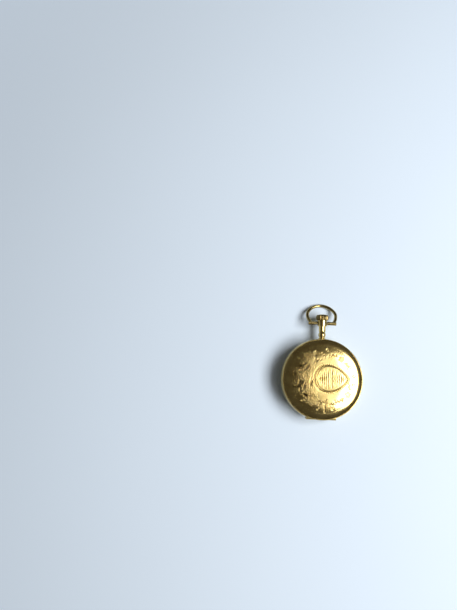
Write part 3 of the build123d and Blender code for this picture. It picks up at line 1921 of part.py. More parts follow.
hand(
    "hour_hand", centre_place, hour_reading, hour_hand_low, hour_hand_length,
    2 * hour_pipe_radius, hour_pipe_radius + fit_gap, hour_eye_share,
)
hand(
    "minute_hand", centre_place, minute_reading, minute_hand_low, minute_hand_length,
    2 * cannon_radius, cannon_radius + fit_gap, minute_eye_share,
)

with BuildPart() as seconds_hand:
    with BuildSketch(level(seconds_hand_low)):
        with Locations(Location((*fourth_place, 0), twelve_angle - seconds_reading)):
            Polygon(
                (-seconds_hand_tail, -hand_width / 4),
                (seconds_hand_length, -hand_width / 12),
                (seconds_hand_length, hand_width / 12),
                (-seconds_hand_tail, hand_width / 4),
                align=None,
            )
            Circle(hand_width)
            Circle(pivot_radius + fit_gap, mode=Mode.SUBTRACT)
    extrude(amount=hand_thickness)
save(seconds_hand, "seconds_hand")
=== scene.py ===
"""Pendant watch in a hunter case: finishes, engraving, dial print, hands and stage."""

import math

import bmesh
import bpy
import numpy as np
from mathutils import Matrix, Vector
from mathutils.bvhtree import BVHTree


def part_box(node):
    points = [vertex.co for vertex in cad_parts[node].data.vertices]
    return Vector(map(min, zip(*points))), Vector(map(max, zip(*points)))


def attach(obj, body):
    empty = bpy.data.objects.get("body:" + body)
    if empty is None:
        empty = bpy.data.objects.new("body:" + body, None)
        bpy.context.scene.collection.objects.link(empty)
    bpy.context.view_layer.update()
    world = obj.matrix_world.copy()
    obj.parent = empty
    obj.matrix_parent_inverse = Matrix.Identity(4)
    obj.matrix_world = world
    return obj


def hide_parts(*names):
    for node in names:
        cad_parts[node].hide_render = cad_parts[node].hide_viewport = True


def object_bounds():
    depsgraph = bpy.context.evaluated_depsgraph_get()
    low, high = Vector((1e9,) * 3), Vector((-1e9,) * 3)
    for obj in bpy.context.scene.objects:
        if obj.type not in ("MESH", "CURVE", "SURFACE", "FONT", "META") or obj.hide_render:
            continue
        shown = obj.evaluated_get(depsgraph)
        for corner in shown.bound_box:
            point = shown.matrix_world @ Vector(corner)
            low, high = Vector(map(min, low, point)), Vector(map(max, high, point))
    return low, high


bl_info = {
    "name": "Pendant watch",
    "version": (1, 0, 0),
    "blender": (4, 5, 0),
    "location": "View3D > Sidebar > Watch",
    "description": "Dresses the packed watch and sets it on a pale table",
    "category": "Object",
}

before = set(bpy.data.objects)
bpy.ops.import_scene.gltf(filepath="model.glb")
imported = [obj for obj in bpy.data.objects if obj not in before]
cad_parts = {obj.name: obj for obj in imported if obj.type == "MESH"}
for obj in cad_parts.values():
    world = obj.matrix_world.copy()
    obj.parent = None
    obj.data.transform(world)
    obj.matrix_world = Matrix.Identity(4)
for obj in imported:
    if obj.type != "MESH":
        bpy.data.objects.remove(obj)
cad_low, cad_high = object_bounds()

MM = 0.001

# The photograph's frame and the lens it was taken with
photo_height = 610
sensor_width = 36.0
focal_pixels = 493

# Lamps: name, place right, up and over the table, width, height, colour
LAMPS = (
    ("window", (0.30, -0.04, 0.46), 0.24, 0.42, (1.0, 0.98, 0.95)),
    ("ceiling", (0.15, -0.05, 0.52), 0.14, 0.38, (1.0, 0.98, 0.96)),
    ("fill", (-0.50, 0.12, 0.14), 0.10, 0.4, (0.78, 0.89, 1.0)),
)
ROOM_COLOR = (1.0, 0.93, 0.80)
cloud_scale = 9.0
cloud_shade = 0.97
table_roughness = 0.85
table_reach = 1.2

# Finishes
hairline_scale = 420.0
hairline_depth = 0.02 * MM
stripe_scale = 210.0
stripe_depth = 0.03 * MM
stripe_turn = 58
rubbed_share = 0.72
dulled_share = 0.45
enamel_clouding = 0.95
ink_sheen = 1.8

# Engraved skins: where the dome is measured, the floor's drop and reach, how strongly a cut
# darkens, how far out the cover is set back and how far a point may lie off its surface
edge_share = 0.999
floor_drop = 1.6
floor_share = 0.55
patina_reach = 1.5
shell_share = 0.995
surface_slack = 0.02 * MM

# Engine turning, in millimetres: waves, their height, the rings' pitch and their reach
back_waves = 24
back_wave_height = 0.32
back_pitch = 0.72
back_reach = (4.4, 12.5)
BACK_RINGS = (3.9, 4.25, 12.75, 13.1)

# Hands: piece, body it rides on, length and the eye's place along it, in millimetres
HANDS = (
    ("hour_hand", "hour", 7.4, 0.7),
    ("minute_hand", "centre", 11.6, 0.78),
)
hand_clearance = 0.22 * MM
hand_bevel = 0.025 * MM

# Winding button: rise along its axis and radius in millimetres, share of a rib's depth and of the
# patina and painted shade in its grooves
CROWN_PROFILE = (
    (0.85, 0.0, 0), (0.85, 2.1, 0), (0.04, 2.1, 0), (0.0, 2.2, 0), (0.03, 2.36, 0.2),
    (0.2, 2.56, 0.8), (0.4, 2.6, 1), (1.2, 2.6, 1), (1.75, 2.58, 1), (2.0, 2.5, 0.8),
    (2.2, 2.3, 0.35), (2.32, 2.05, 0), (2.36, 1.9, 0), (2.5, 1.3, 0), (2.6, 0.6, 0),
    (2.63, 0.0, 0),
)
crown_ribs = 22
rib_depth = 0.24
rib_steps = 12
rib_roundness = 1.1
# how far the patina and painted shade spread up a groove's flanks
groove_patina_and_shade_spread = 1.6

# Dial print
line_offset = 0.38 * MM
NUMERALS = (12, 1, 2, 3, 4, 5, 7, 8, 9, 10, 11)
NUMERAL_AXES = ((0, 1, 0), (-1, 0, 0), (0, 0, 1))

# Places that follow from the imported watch
dial_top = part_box("dial")[1].z
crown_low, crown_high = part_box("crown")
seconds_hand_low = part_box("seconds_hand")[0].z
seconds_centre = sum(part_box("fourth_wheel"), Vector()) / 2


# Small helpers for meshes


def scene_object(name, data):
    """New object in the scene."""
    made = bpy.data.objects.new(name, data)
    bpy.context.scene.collection.objects.link(made)
    return made


def set_in_place(name, data, spot, axes):
    """New object at a spot, turned to three axes."""
    made = scene_object(name, data)
    made.matrix_world = Matrix.Translation(spot) @ Matrix(axes).transposed().to_4x4()
    return made


def mesh_piece(name, vertices, faces, material, smooth=True):
    """Object at the origin from points and faces, linked to the scene."""
    mesh = bpy.data.meshes.new(name)
    mesh.from_pydata([tuple(v) for v in vertices], [], [tuple(f) for f in faces])
    mesh.validate()
    if smooth:
        mesh.shade_smooth()
    mesh.materials.append(material)
    return scene_object(name, mesh)


def mark_cuts(piece, shares):
    """Notes on the mesh how much patina each point holds; on the crown this is patina and painted
    shade in the grooves.
    """
    attribute = piece.data.attributes.new("cut", "FLOAT", "POINT")
    attribute.data.foreach_set("value", np.asarray(shares, np.float32))


def plain_mesh(piece):
    """Turns words or a piece with modifiers into a plain mesh in its place."""
    depsgraph = bpy.context.evaluated_depsgraph_get()
    mesh = bpy.data.meshes.new_from_object(piece.evaluated_get(depsgraph))
    mesh.transform(piece.matrix_world)
    name = piece.name
    made = scene_object(name + "_mesh", mesh)
    bpy.data.objects.remove(piece)
    made.name = name
    return made


def dress(piece, body):
    """Makes a finished piece ride on its body."""
    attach(piece, body)
    return piece


def heading(angle):
    """Unit vector at an angle in degrees, level with the dial."""
    turn = math.radians(angle)
    return np.array([math.cos(turn), math.sin(turn)])


def neighbours(count):
    """Each number of a ring of points with the one after it."""
    return [(number, (number + 1) % count) for number in range(count)]


# Small helpers for node trees


def feed(tree, node, inputs):
    """Sets the values or links of a node's inputs."""
    for name, value in inputs.items():
        socket = node.inputs[name]
        if isinstance(value, bpy.types.NodeSocket):
            tree.links.new(value, socket)
        else:
            socket.default_value = value


def add_node(tree, kind, inputs=None, **settings):
    """Adds a node with its properties and fed inputs."""
    made = tree.nodes.new(kind)
    for name, value in settings.items():
        setattr(made, name, value)
    feed(tree, made, inputs or {})
    return made


def mixed_color(tree, factor, first, second):
    """Colour between two, as the factor's socket says."""
    mix = add_node(tree, "ShaderNodeMix", {0: factor, 6: first, 7: second}, data_type="RGBA")
    return mix.outputs[2]


def math_result(tree, operation, first, second):
    """Result socket of a math node."""
    made = add_node(tree, "ShaderNodeMath", {0: first, 1: second}, operation=operation)
    return made.outputs[0]


def node_group(name, kind, inputs, outputs):
    """Node group with named sockets; returns it, its given values and its end."""
    tree = bpy.data.node_groups.new(name, kind)
    for side, sockets in (("INPUT", inputs), ("OUTPUT", outputs)):
        for label, value in sockets:
            tree.interface.new_socket(label, in_out=side, socket_type="NodeSocket" + value)
    given = tree.nodes.new("NodeGroupInput").outputs
    return tree, given, tree.nodes.new("NodeGroupOutput")


def handled_surface():
    """Group for a metal that has been carried and wiped: tone, gloss and hairline marks."""
    tree, given, end = node_group(
        "Handled surface", "ShaderNodeTree",
        (
            ("Light", "Color"), ("Dark", "Color"), ("Patch size", "Float"),
            ("Gloss", "Float"), ("Dull", "Float"),
        ),
        (("Color", "Color"), ("Roughness", "Float"), ("Height", "Float")),
    )
    place = add_node(tree, "ShaderNodeTexCoord").outputs["Object"]
    patches = add_node(
        tree, "ShaderNodeTexNoise",
        {"Vector": place, "Scale": given["Patch size"], "Detail": 5.0},
    )
    patch_mask = add_node(
        tree, "ShaderNodeMapRange",
        {"Value": patches.outputs["Fac"], "From Min": 0.35, "From Max": 0.7},
    )
    tone = mixed_color(tree, patch_mask.outputs["Result"], given["Light"], given["Dark"])
    stretched = add_node(
        tree, "ShaderNodeMapping",
        {"Vector": place, "Scale": (1.0, 14.0, 6.0), "Rotation": (0.3, 0.2, 0.9)},
    )
    hairlines = add_node(tree, "ShaderNodeTexNoise", {
        "Vector": stretched.outputs["Vector"], "Scale": hairline_scale,
        "Detail": 6.0, "Roughness": 0.7,
    })
    gloss = add_node(tree, "ShaderNodeMapRange", {
        "Value": hairlines.outputs["Fac"], "From Min": 0.3, "From Max": 0.75,
        "To Min": given["Gloss"], "To Max": given["Dull"],
    })
    height = hairlines.outputs["Fac"]
    feed(tree, end, {"Color": tone, "Roughness": gloss.outputs["Result"], "Height": height})
    return tree


def striped_surface():
    """Group for straight decorative stripes ground across a bridge."""
    tree, given, end = node_group(
        "Ground stripes", "ShaderNodeTree",
        (("Stripe count", "Float"), ("Turn", "Vector")), (("Height", "Float"),),
    )
    place = add_node(tree, "ShaderNodeTexCoord")
    turned = add_node(
        tree, "ShaderNodeMapping",
        {"Vector": place.outputs["Object"], "Rotation": given["Turn"]},
    )
    stripes = add_node(
        tree, "ShaderNodeTexWave",
        {"Vector": turned.outputs["Vector"], "Scale": given["Stripe count"]},
        wave_profile="SAW",
    )
    feed(tree, end, {"Height": stripes.outputs["Fac"]})
    return tree


HANDLED = handled_surface()
STRIPED = striped_surface()


def rgba(color):
    """Colour with full alpha."""
    return (*color[:3], 1.0)


def shade(color, share):
    """Colour made darker or lighter by a share."""
    return tuple(share * channel for channel in color)


def principled(name):
    """New material with its Principled shader."""
    material = bpy.data.materials.new(name)
    material.use_nodes = True
    return material, material.node_tree, material.node_tree.nodes["Principled BSDF"]


def bumped(tree, shader, height, strength, distance):
    """Lets a height socket raise the shader's surface."""
    bump = add_node(
        tree, "ShaderNodeBump", {"Height": height, "Strength": strength, "Distance": distance}
    )
    feed(tree, shader, {"Normal": bump.outputs["Normal"]})


def metal(name, light, dark, gloss, dull, patch_size=300.0, mark_depth=0.15):
    """Handled metal in two tones; returns the material, its tree, shader and group node."""
    material, tree, shader = principled(name)
    surface = add_node(tree, "ShaderNodeGroup", {
        "Light": rgba(light), "Dark": rgba(dark), "Patch size": patch_size,
        "Gloss": gloss, "Dull": dull,
    }, node_tree=HANDLED)
    bumped(tree, shader, surface.outputs["Height"], mark_depth, hairline_depth)
    tone, roughness = surface.outputs["Color"], surface.outputs["Roughness"]
    feed(tree, shader, {"Base Color": tone, "Roughness": roughness, "Metallic": 1.0})
    return material, tree, shader, surface


def engraved_metal(name, light, dark, gloss, dull, cut_color):
    """Handled metal whose cuts, marked on the mesh, hold a darker patina; in the crown's grooves
    the same dark colour is also painted shade.
    """
    material, tree, shader, surface = metal(name, light, dark, gloss, dull)
    cut = add_node(tree, "ShaderNodeAttribute", {}, attribute_name="cut")
    tone = mixed_color(tree, cut.outputs["Fac"], surface.outputs["Color"], rgba(cut_color))
    feed(tree, shader, {"Base Color": tone})
    return material


def striped_metal(name, light, dark, gloss, dull, turn):
    """Handled metal with stripes ground across it."""
    material, tree, shader, _ = metal(name, light, dark, gloss, dull)
    values = {"Stripe count": stripe_scale, "Turn": (0, 0, math.radians(turn))}
    stripes = add_node(tree, "ShaderNodeGroup", values, node_tree=STRIPED)
    bumped(tree, shader, stripes.outputs["Height"], 0.6, stripe_depth)
    return material


def glossy_stone(name, light, dark, gloss, dull, patch_size, coat):
    """Enamel, ink or jewel: a non-metal with a polished skin and slight clouding."""
    material, tree, shader, _ = metal(name, light, dark, gloss, dull, patch_size, 0.03)
    feed(tree, shader, {"Metallic": 0.0, "Coat Weight": coat, "Coat Roughness": 0.05})
    return material


def clear_glass(name):
    """Thin clear watch glass with faint wiping marks."""
    material, tree, shader, _ = metal(
        name, (0.97, 0.98, 0.98), (0.93, 0.96, 0.96), 0.01, 0.05, 200.0, 0.02
    )
    feed(tree, shader, {"Metallic": 0.0, "Transmission Weight": 1.0, "IOR": 1.45})
    return material


# The engraving is worked out in millimetres as a depth at each point of a fine grid


def disc_grid(count):
    """Square grid bent onto a unit disc, with its faces and its rim in order."""
    steps = np.linspace(-1, 1, count)
    a, b = np.meshgrid(steps, steps)
    wide = np.abs(a) > np.abs(b)
    radius = np.where(wide, a, b)
    with np.errstate(divide="ignore", invalid="ignore"):
        turn = np.where(wide, math.pi / 4 * b / a, math.pi / 2 - math.pi / 4 * a / b)
    turn = np.nan_to_num(turn)
    x, y = radius * np.cos(turn), radius * np.sin(turn)
    number = np.arange(count * count).reshape(count, count)
    faces = np.stack(
        [number[:-1, :-1], number[:-1, 1:], number[1:, 1:], number[1:, :-1]], axis=-1
    ).reshape(-1, 4)
    rim = np.concatenate(
        [number[0, :-1], number[:-1, -1], number[-1, :0:-1], number[:0:-1, 0]]
    )
    return np.stack([x.ravel(), y.ravel()], axis=1), faces, rim


class Plate:
    """A field of points that lines and facets are cut into."""

    def __init__(self, points):
        self.points = points
        self.depth = np.zeros(len(points))

    def near(self, low, high, margin):
        """Numbers of the points inside a box."""
        inside = np.all((self.points > low - margin) & (self.points < high + margin), axis=1)
        return np.nonzero(inside)[0]

    def line(self, path, width, deep, taper=True):
        """V-shaped groove along a path, which fades at both ends if it tapers."""
        path = np.asarray(path, float)
        if taper and len(path) == 2:
            path = np.linspace(path[0], path[1], 9)
        share = np.linspace(0, 1, len(path))
        widths = width * (np.sin(math.pi * np.clip(share, 0.04, 0.96)) ** 0.6 if taper else 1)
        widths = np.broadcast_to(widths, (len(path),))
        chosen = self.near(path.min(0), path.max(0), width)
        if not len(chosen):
            return
        points = self.points[chosen]
        best = np.zeros(len(chosen))
        for start, stop, first, last in zip(path[:-1], path[1:], widths[:-1], widths[1:]):
            step = stop - start
            length = max(float(step @ step), 1e-12)
            along = np.clip(((points - start) @ step) / length, 0, 1)
            away = np.linalg.norm(points - start - along[:, None] * step, axis=1)
            half = first + along * (last - first)
            best = np.maximum(best, deep * half / width * np.clip(1 - away / half, 0, 1))
        self.depth[chosen] = np.maximum(self.depth[chosen], best)

    def leaf(self, base, angle, length, width, deep, side=1):
        """Leaf-shaped facet that slopes down towards one edge, with a fine midrib."""
        base = np.asarray(base, float)
        along = heading(angle)
        across = np.array([-along[1], along[0]])
        tip = base + along * length
        chosen = self.near(np.minimum(base, tip), np.maximum(base, tip), width)
        offset = self.points[chosen] - base
        u = np.clip(offset @ along / length, 0, 1)
        v = offset @ across
        half = width / 2 * np.sin(math.pi * u**0.8) + 1e-9
        inside = (np.abs(v) < half) & (u > 0) & (u < 1)
        slope = deep * 0.45 * (side * v / half + 1) / 2
        values = np.where(inside, slope, 0)
        self.depth[chosen] = np.maximum(self.depth[chosen], values)
        self.line([base, base + along * length * 0.8], 0.09, deep * 0.8)
        share = np.linspace(0, 1, 9)
        rise = width / 2 * np.sin(math.pi * share**0.8)
        for way in (-1, 1):
            edge = base + np.outer(share * length, along) + np.outer(way * rise, across)
            self.line(edge, 0.11, deep)

    def curl(self, centre, start, turns, size, hand, width, deep):
        """Scroll that winds in towards its centre."""
        share = np.linspace(0, 1, 34)
        angles = np.radians(start + hand * 360 * turns * share)
        reach = size * (1 - 0.82 * share)
        path = np.asarray(centre) + np.stack([np.cos(angles), np.sin(angles)], 1) * reach[:, None]
        self.line(path, width, deep)

    def flower(self, centre, size, petals, turn, deep):
        """Open flower with round petals and a dotted eye."""
        centre = np.asarray(centre)
        for number in range(petals):
            angle = turn + 360 / petals * number
            self.leaf(
                centre + heading(angle) * size * 0.22,
                angle, size * 0.8, size * 0.62, deep, 1 if number % 2 else -1,
            )
            edge = [
                centre + heading(angle + step) * size * (1.02 - (step / 70) ** 2)
                for step in np.linspace(-34, 34, 9)
            ]
            self.line(edge, 0.1, deep)
        for number in range(6):
            dot = centre + heading(60 * number) * size * 0.12
            self.line([dot, dot + heading(60 * number) * size * 0.06], 0.1, deep)

    def spray(self, start, angle, bend, length, leaves, leaf_size, deep, hand=1):
        """Bent stem with leaves on both sides and a scroll at its end."""
        share = np.linspace(0, 1, 18)
        path = [np.asarray(start, float)]
        for step in share[1:]:
            path.append(path[-1] + heading(angle + bend * step) * length / (len(share) - 1))
        path = np.array(path)
        self.line(path, 0.15, deep)
        for number in range(leaves):
            where = int((number + 1) * (len(path) - 2) / (leaves + 1)) + 1
            way = angle + bend * share[where]
            side = 1 if number % 2 else -1
            shrink = 1 - 0.45 * number / max(leaves - 1, 1)
            self.leaf(
                path[where], way + side * 48, leaf_size * shrink,
                leaf_size * shrink * 0.42, deep, -side,
            )
        self.curl(
            path[-1] + heading(angle + bend + hand * 90) * leaf_size * 0.42,
            angle + bend - hand * 90, 1.1, leaf_size * 0.42, hand, 0.12, deep,
        )


def drop_outline(centre, width, height, share, steps=121):
    """Closed outline that is round on the left and pointed on the right."""
    turn = np.linspace(0, 2 * math.pi, steps)
    x = width / 2 * share * np.cos(turn)
    y = height / 2 * share * 1.12 * np.sin(turn) * np.sin(turn / 2) ** 0.6
    return np.column_stack([x, y]) + centre


def lined_panel(plate, centre, width, height, deep):
    """Bare pointed panel: ruled upright lines in a double outline with leaves round it."""
    centre = np.asarray(centre, float)
    for share, line in ((1.0, 0.3), (0.92, 0.16)):
        plate.line(drop_outline(centre, width, height, share), line, deep, False)
    wreath = drop_outline(centre, width, height, 1.03, 53)
    for number, (here, after) in enumerate(zip(wreath[:-1], wreath[1:])):
        way = math.degrees(math.atan2(*(after - here)[::-1]))
        plate.leaf(here, way - 38, 0.95, 0.44, deep, 1)
    inner = drop_outline(centre, width, height, 0.87, 361)
    lines = 15
    for number in range(lines):
        x = centre[0] + width * 0.43 * ((number + 0.5) / lines * 2 - 1)
        span = inner[np.abs(inner[:, 0] - x) < 0.12][:, 1]
        if not len(span):
            continue
        low, high = span.min(), span.max()
        gap = (high - low) * (0.06 if number % 2 else 0.16)
        sway = 0.1 * math.sin(number * 1.7)
        steps = np.linspace(low + gap, high - gap, 13)
        path = [(x + sway * math.sin(3.1 * (y - low)), y) for y in steps]
        plate.line(path, 0.42 if number % 5 == 2 else 0.26, deep)
    for number in range(9):
        x = centre[0] - width * 0.4 + number * 0.34
        plate.line([(x, centre[1] - 1.3), (x + 0.8, centre[1] + 1.3)], 0.2, deep * 0.8)


def stipple(plate, centre, spread, count, deep):
    """Fine punched dots in the ground round a flower."""
    for number in range(count):
        angle = number * 137.508
        reach = spread * math.sqrt((number + 0.5) / count)
        dot = np.asarray(centre) + heading(angle) * reach
        plate.line([dot, dot + heading(angle) * 0.06], 0.26, deep * 0.9, False)


# Punched ground: centre, spread and count; flowers: centre, size, petals and turn
GROUNDS = (((-8.0, -1.6), 5.2, 110), ((-6.2, 6.8), 3.4, 46), ((-4.4, -7.8), 3.0, 38))
FLOWERS = (
    (-8.7, -2.9, 2.2, 6, 10), (-6.6, 6.2, 1.6, 5, 35), (-4.6, -7.6, 1.4, 5, 0),
    (10.2, -5.9, 1.2, 5, 20), (7.3, 8.6, 1.2, 5, 50), (-3.2, 10.6, 1.0, 5, 15),
    (0.9, -9.3, 0.9, 5, 54),
)
# Sprays: start, heading, bend, length, leaves, leaf size and the hand of the end scroll
SPRAYS = (
    (-7.4, -1.0, 75, 35, 5.6, 7, 1.8, 1), (-10.4, -4.4, 150, -95, 4.4, 6, 1.6, -1),
    (-7.6, -4.9, -60, -60, 4.4, 6, 1.6, -1), (-6.4, -2.4, 20, 60, 3.4, 5, 1.4, 1),
    (-5.2, 7.2, 30, -45, 4.8, 6, 1.5, -1), (-8.0, 5.4, 205, 60, 4.6, 6, 1.5, 1),
    (-7.4, 7.6, 120, -60, 3.2, 4, 1.2, -1), (-3.4, -8.5, -35, 55, 5.2, 6, 1.4, 1),
    (-5.9, -7.2, 170, -50, 3.2, 5, 1.2, -1), (8.3, 7.8, -35, -35, 3.6, 5, 1.2, -1),
    (6.2, 9.3, 150, 45, 4.6, 5, 1.2, 1), (10.6, -4.7, 80, 30, 4.6, 5, 1.2, 1),
    (9.2, -6.9, 230, -45, 5.0, 6, 1.3, -1), (-12.2, 0.6, 95, -20, 3.8, 5, 1.2, -1),
    (-4.2, 10.9, 185, 45, 3.6, 5, 1.1, 1), (-2.2, 10.9, -10, -35, 3.6, 5, 1.1, -1),
    (1.8, -9.8, -20, 40, 3.6, 5, 1.1, 1), (0.0, -9.8, 200, -40, 3.0, 4, 1.0, -1),
)
# Single scrolls: centre, starting angle and hand
CURLS = (
    (-11.7, -7.0, 200, 1), (1.6, 11.9, 0, 1), (4.2, -11.6, 180, 1), (-1.8, -11.9, 0, -1),
    (12.6, 1.9, 90, -1), (-10.4, 8.4, 90, 1), (12.4, -1.9, -90, 1), (11.0, 5.6, 60, -1),
)
PANEL = ((3.4, 0.4), 13.6, 11.6)
curl_turns = 1.3
curl_size = 0.85
curl_width = 0.14
ear_leaves = 5
ear_top = (0.9, -10.6)
ear_step = 0.6


def engrave_front(plate, deep):
    """Sprays of flowers and scrolls round a bare lined panel."""
    for centre, spread, count in GROUNDS:
        stipple(plate, centre, spread, count, deep)
    lined_panel(plate, *PANEL, deep)
    for x, y, size, petals, turn in FLOWERS:
        plate.flower((x, y), size, petals, turn, deep)
    for x, y, angle, bend, length, leaves, size, hand in SPRAYS:
        plate.spray((x, y), angle, bend, length, leaves, size, deep, hand)
    for x, y, start, hand in CURLS:
        plate.curl((x, y), start, curl_turns, curl_size, hand, curl_width, deep)
    for step in range(ear_leaves):
        for way in (250, 290):
            plate.leaf((ear_top[0], ear_top[1] - ear_step * step), way, 0.75, 0.32, deep, 1)


def turn_back(plate, deep):
    """Engine turning: waved rings round a bare centre."""
    x, y = plate.points[:, 0], plate.points[:, 1]
    radius = np.hypot(x, y)
    angle = np.arctan2(y, x)
    wave = radius + back_wave_height * np.sin(back_waves * angle)
    ripples = 0.5 + 0.5 * np.cos(wave * 2 * math.pi / back_pitch)
    inner, outer = back_reach
    shown = np.clip((radius - inner) * 4, 0, 1) * np.clip((outer - radius) * 4, 0, 1)
    plate.depth = np.maximum(plate.depth, deep * 0.55 * ripples * shown)
    round_steps = np.linspace(0, 360, 97)
    for reach in BACK_RINGS:
        plate.line([heading(a) * reach for a in round_steps], 0.12, deep, False)


def outside(tree, x, y, facing):
    """Place where a line onto a cover first meets it."""
    return tree.ray_cast(Vector((x, y, facing)), Vector((0, 0, -facing)))[0]


def lowered_cover(node, facing, radius, sink, material):
    """Copy of a packed cover whose dome is set back to make room for a cut skin."""
    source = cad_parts[node]
    mesh = source.data.copy()
    mesh.name = node + "_shell"
    piece = scene_object(node + "_shell", mesh)
    middle = (cad_low.z + cad_high.z) / 2
    tree = BVHTree.FromObject(source, bpy.context.evaluated_depsgraph_get())
    for vertex in mesh.vertices:
        place = vertex.co
        if math.hypot(place.x, place.y) > radius or (place.z - middle) * facing < 0:
            continue
        hit = outside(tree, place.x, place.y, facing)
        if hit is None or abs(hit.z - place.z) < surface_slack:
            place.z -= facing * sink
    mesh.materials.clear()
    mesh.materials.append(material)
    return piece


def engraved_field(name, node, facing, materials, cutter, grid, settings):
    """Cut skin in the place of a cover's dome; facing 1 is the front."""
    points, faces, rim = disc_grid(grid)
    field = settings.field_radius
    plate = Plate(points * field / MM)
    cutter(plate, settings.depth / MM)
    depth = plate.depth * MM
    tree = BVHTree.FromObject(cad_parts[node], bpy.context.evaluated_depsgraph_get())
    crest = outside(tree, settings.flat_radius / 2, 0, facing).z
    edge = outside(tree, field * edge_share, 0, facing).z
    run = field - settings.flat_radius
    fall = abs(crest - edge)
    bend = (run**2 + fall**2) / (2 * fall)

    def dome(radius):
        """Height of the smooth dome through the crest and the edge."""
        out = np.clip(radius - settings.flat_radius, 0, None)
        return crest - facing * (bend - np.sqrt(bend**2 - out**2))

    reach = np.hypot(points[:, 0], points[:, 1]) * field
    vertices = np.column_stack([points * field, dome(reach) - facing * depth])
    loops = [tuple(face) for face in faces]
    rim_points = points[rim] * field
    base = len(vertices)
    count = len(rim)
    lower = floor_drop * settings.sink
    rings = [
        np.column_stack([rim_points * share, np.full(count, dome(field * share) - facing * lower)])
        for share in (1.0, floor_share)
    ]
    vertices = np.vstack([vertices, *rings, [[0, 0, crest - facing * lower]]])
    for number, after in neighbours(count):
        loops.append((rim[after], rim[number], base + number, base + after))
        loops.append((base + after, base + number, base + count + number, base + count + after))
        loops.append((base + count + after, base + count + number, base + 2 * count))
    if facing < 0:
        loops = [tuple(reversed(face)) for face in loops]
    piece = mesh_piece(name, vertices, loops, materials[0])
    piece.data.set_sharp_from_angle(angle=math.radians(60))
    shares = np.clip(patina_reach * depth / settings.depth, 0, 1)
    mark_cuts(piece, np.concatenate([shares, np.zeros(2 * count + 1)]))
    dress(piece, node)
    shell = lowered_cover(node, facing, field * shell_share, settings.sink, materials[1])
    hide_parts(node)
    dress(shell, node)


# Print and hands


def ring_tree():
    """Tree that stands flat marks in a ring, some of them longer."""
    tree, given, end = node_group(
        "Ring of marks", "GeometryNodeTree",
        (
            ("Count", "Int"), ("Radius", "Float"), ("Length", "Float"), ("Width", "Float"),
            ("Thickness", "Float"), ("Centre", "Vector"), ("Every", "Int"),
            ("Growth", "Float"), ("Ink", "Material"),
        ),
        (("Geometry", "Geometry"),),
    )
    tree.is_modifier = True
    ring = add_node(
        tree, "GeometryNodeMeshCircle", {"Vertices": given["Count"], "Radius": given["Radius"]}
    )
    size = add_node(
        tree, "ShaderNodeCombineXYZ",
        {"X": given["Length"], "Y": given["Width"], "Z": given["Thickness"]},
    )
    mark = add_node(tree, "GeometryNodeMeshCube", {"Size": size.outputs["Vector"]})
    number = add_node(tree, "GeometryNodeInputIndex").outputs["Index"]
    rest = math_result(tree, "MODULO", number, given["Every"])
    chosen = math_result(tree, "LESS_THAN", rest, 0.5)
    more = math_result(tree, "MULTIPLY", chosen, given["Growth"])
    grown = math_result(tree, "ADD", more, 1.0)
    scale = add_node(tree, "ShaderNodeCombineXYZ", {"X": grown, "Y": grown, "Z": 1.0})
    place = add_node(tree, "GeometryNodeInputPosition")
    turn = add_node(
        tree, "FunctionNodeAlignRotationToVector", {"Vector": place.outputs["Position"]},
        axis="X", pivot_axis="Z",
    )
    stood = add_node(tree, "GeometryNodeInstanceOnPoints", {
        "Points": ring.outputs["Mesh"], "Instance": mark.outputs["Mesh"],
        "Rotation": turn.outputs["Rotation"], "Scale": scale.outputs["Vector"],
    })
    made = stood.outputs["Instances"]
    for kind, values in (
        ("RealizeInstances", {}),
        ("Transform", {"Translation": given["Centre"]}),
        ("SetMaterial", {"Material": given["Ink"]}),
    ):
        step = add_node(tree, "GeometryNode" + kind, {"Geometry": made, **values})
        made = step.outputs["Geometry"]
    feed(tree, end, {"Geometry": made})
    return tree


def ring_of_marks(name, tree, values):
    """Piece made by the ring tree with the given input values."""
    piece = scene_object(name, bpy.data.meshes.new(name))
    modifier = piece.modifiers.new("Ring", "NODES")
    modifier.node_group = tree
    for item in tree.interface.items_tree:
        if item.in_out == "INPUT":
            modifier[item.identifier] = values[item.name]
    return plain_mesh(piece)


def extruded_outline(name, outline, low, high, material, bevel):
    """Flat piece between two heights from an outline, with softened edges."""
    count = len(outline)
    vertices = [(x, y, low) for x, y in outline] + [(x, y, high) for x, y in outline]
    faces = [tuple(range(count))[::-1], tuple(range(count, 2 * count))]
    faces += [(here, after, count + after, count + here) for here, after in neighbours(count)]
    piece = mesh_piece(name, vertices, faces, material, smooth=False)
    soft = piece.modifiers.new("Bevel", "BEVEL")
    soft.width = bevel
    soft.segments = 2
    soft.limit_method = "ANGLE"
    return plain_mesh(piece)


def join_pieces(name, pieces, material):
    """One object from several plain meshes, all in one material."""
    merged = bmesh.new()
    for piece in pieces:
        merged.from_mesh(piece.data)
    mesh = bpy.data.meshes.new(name)
    for face in merged.faces:
        face.material_index = 0
    merged.to_mesh(mesh)
    merged.free()
    mesh.materials.append(material)
    for piece in pieces:
        bpy.data.objects.remove(piece)
    return scene_object(name, mesh)


# Settings that a user would change


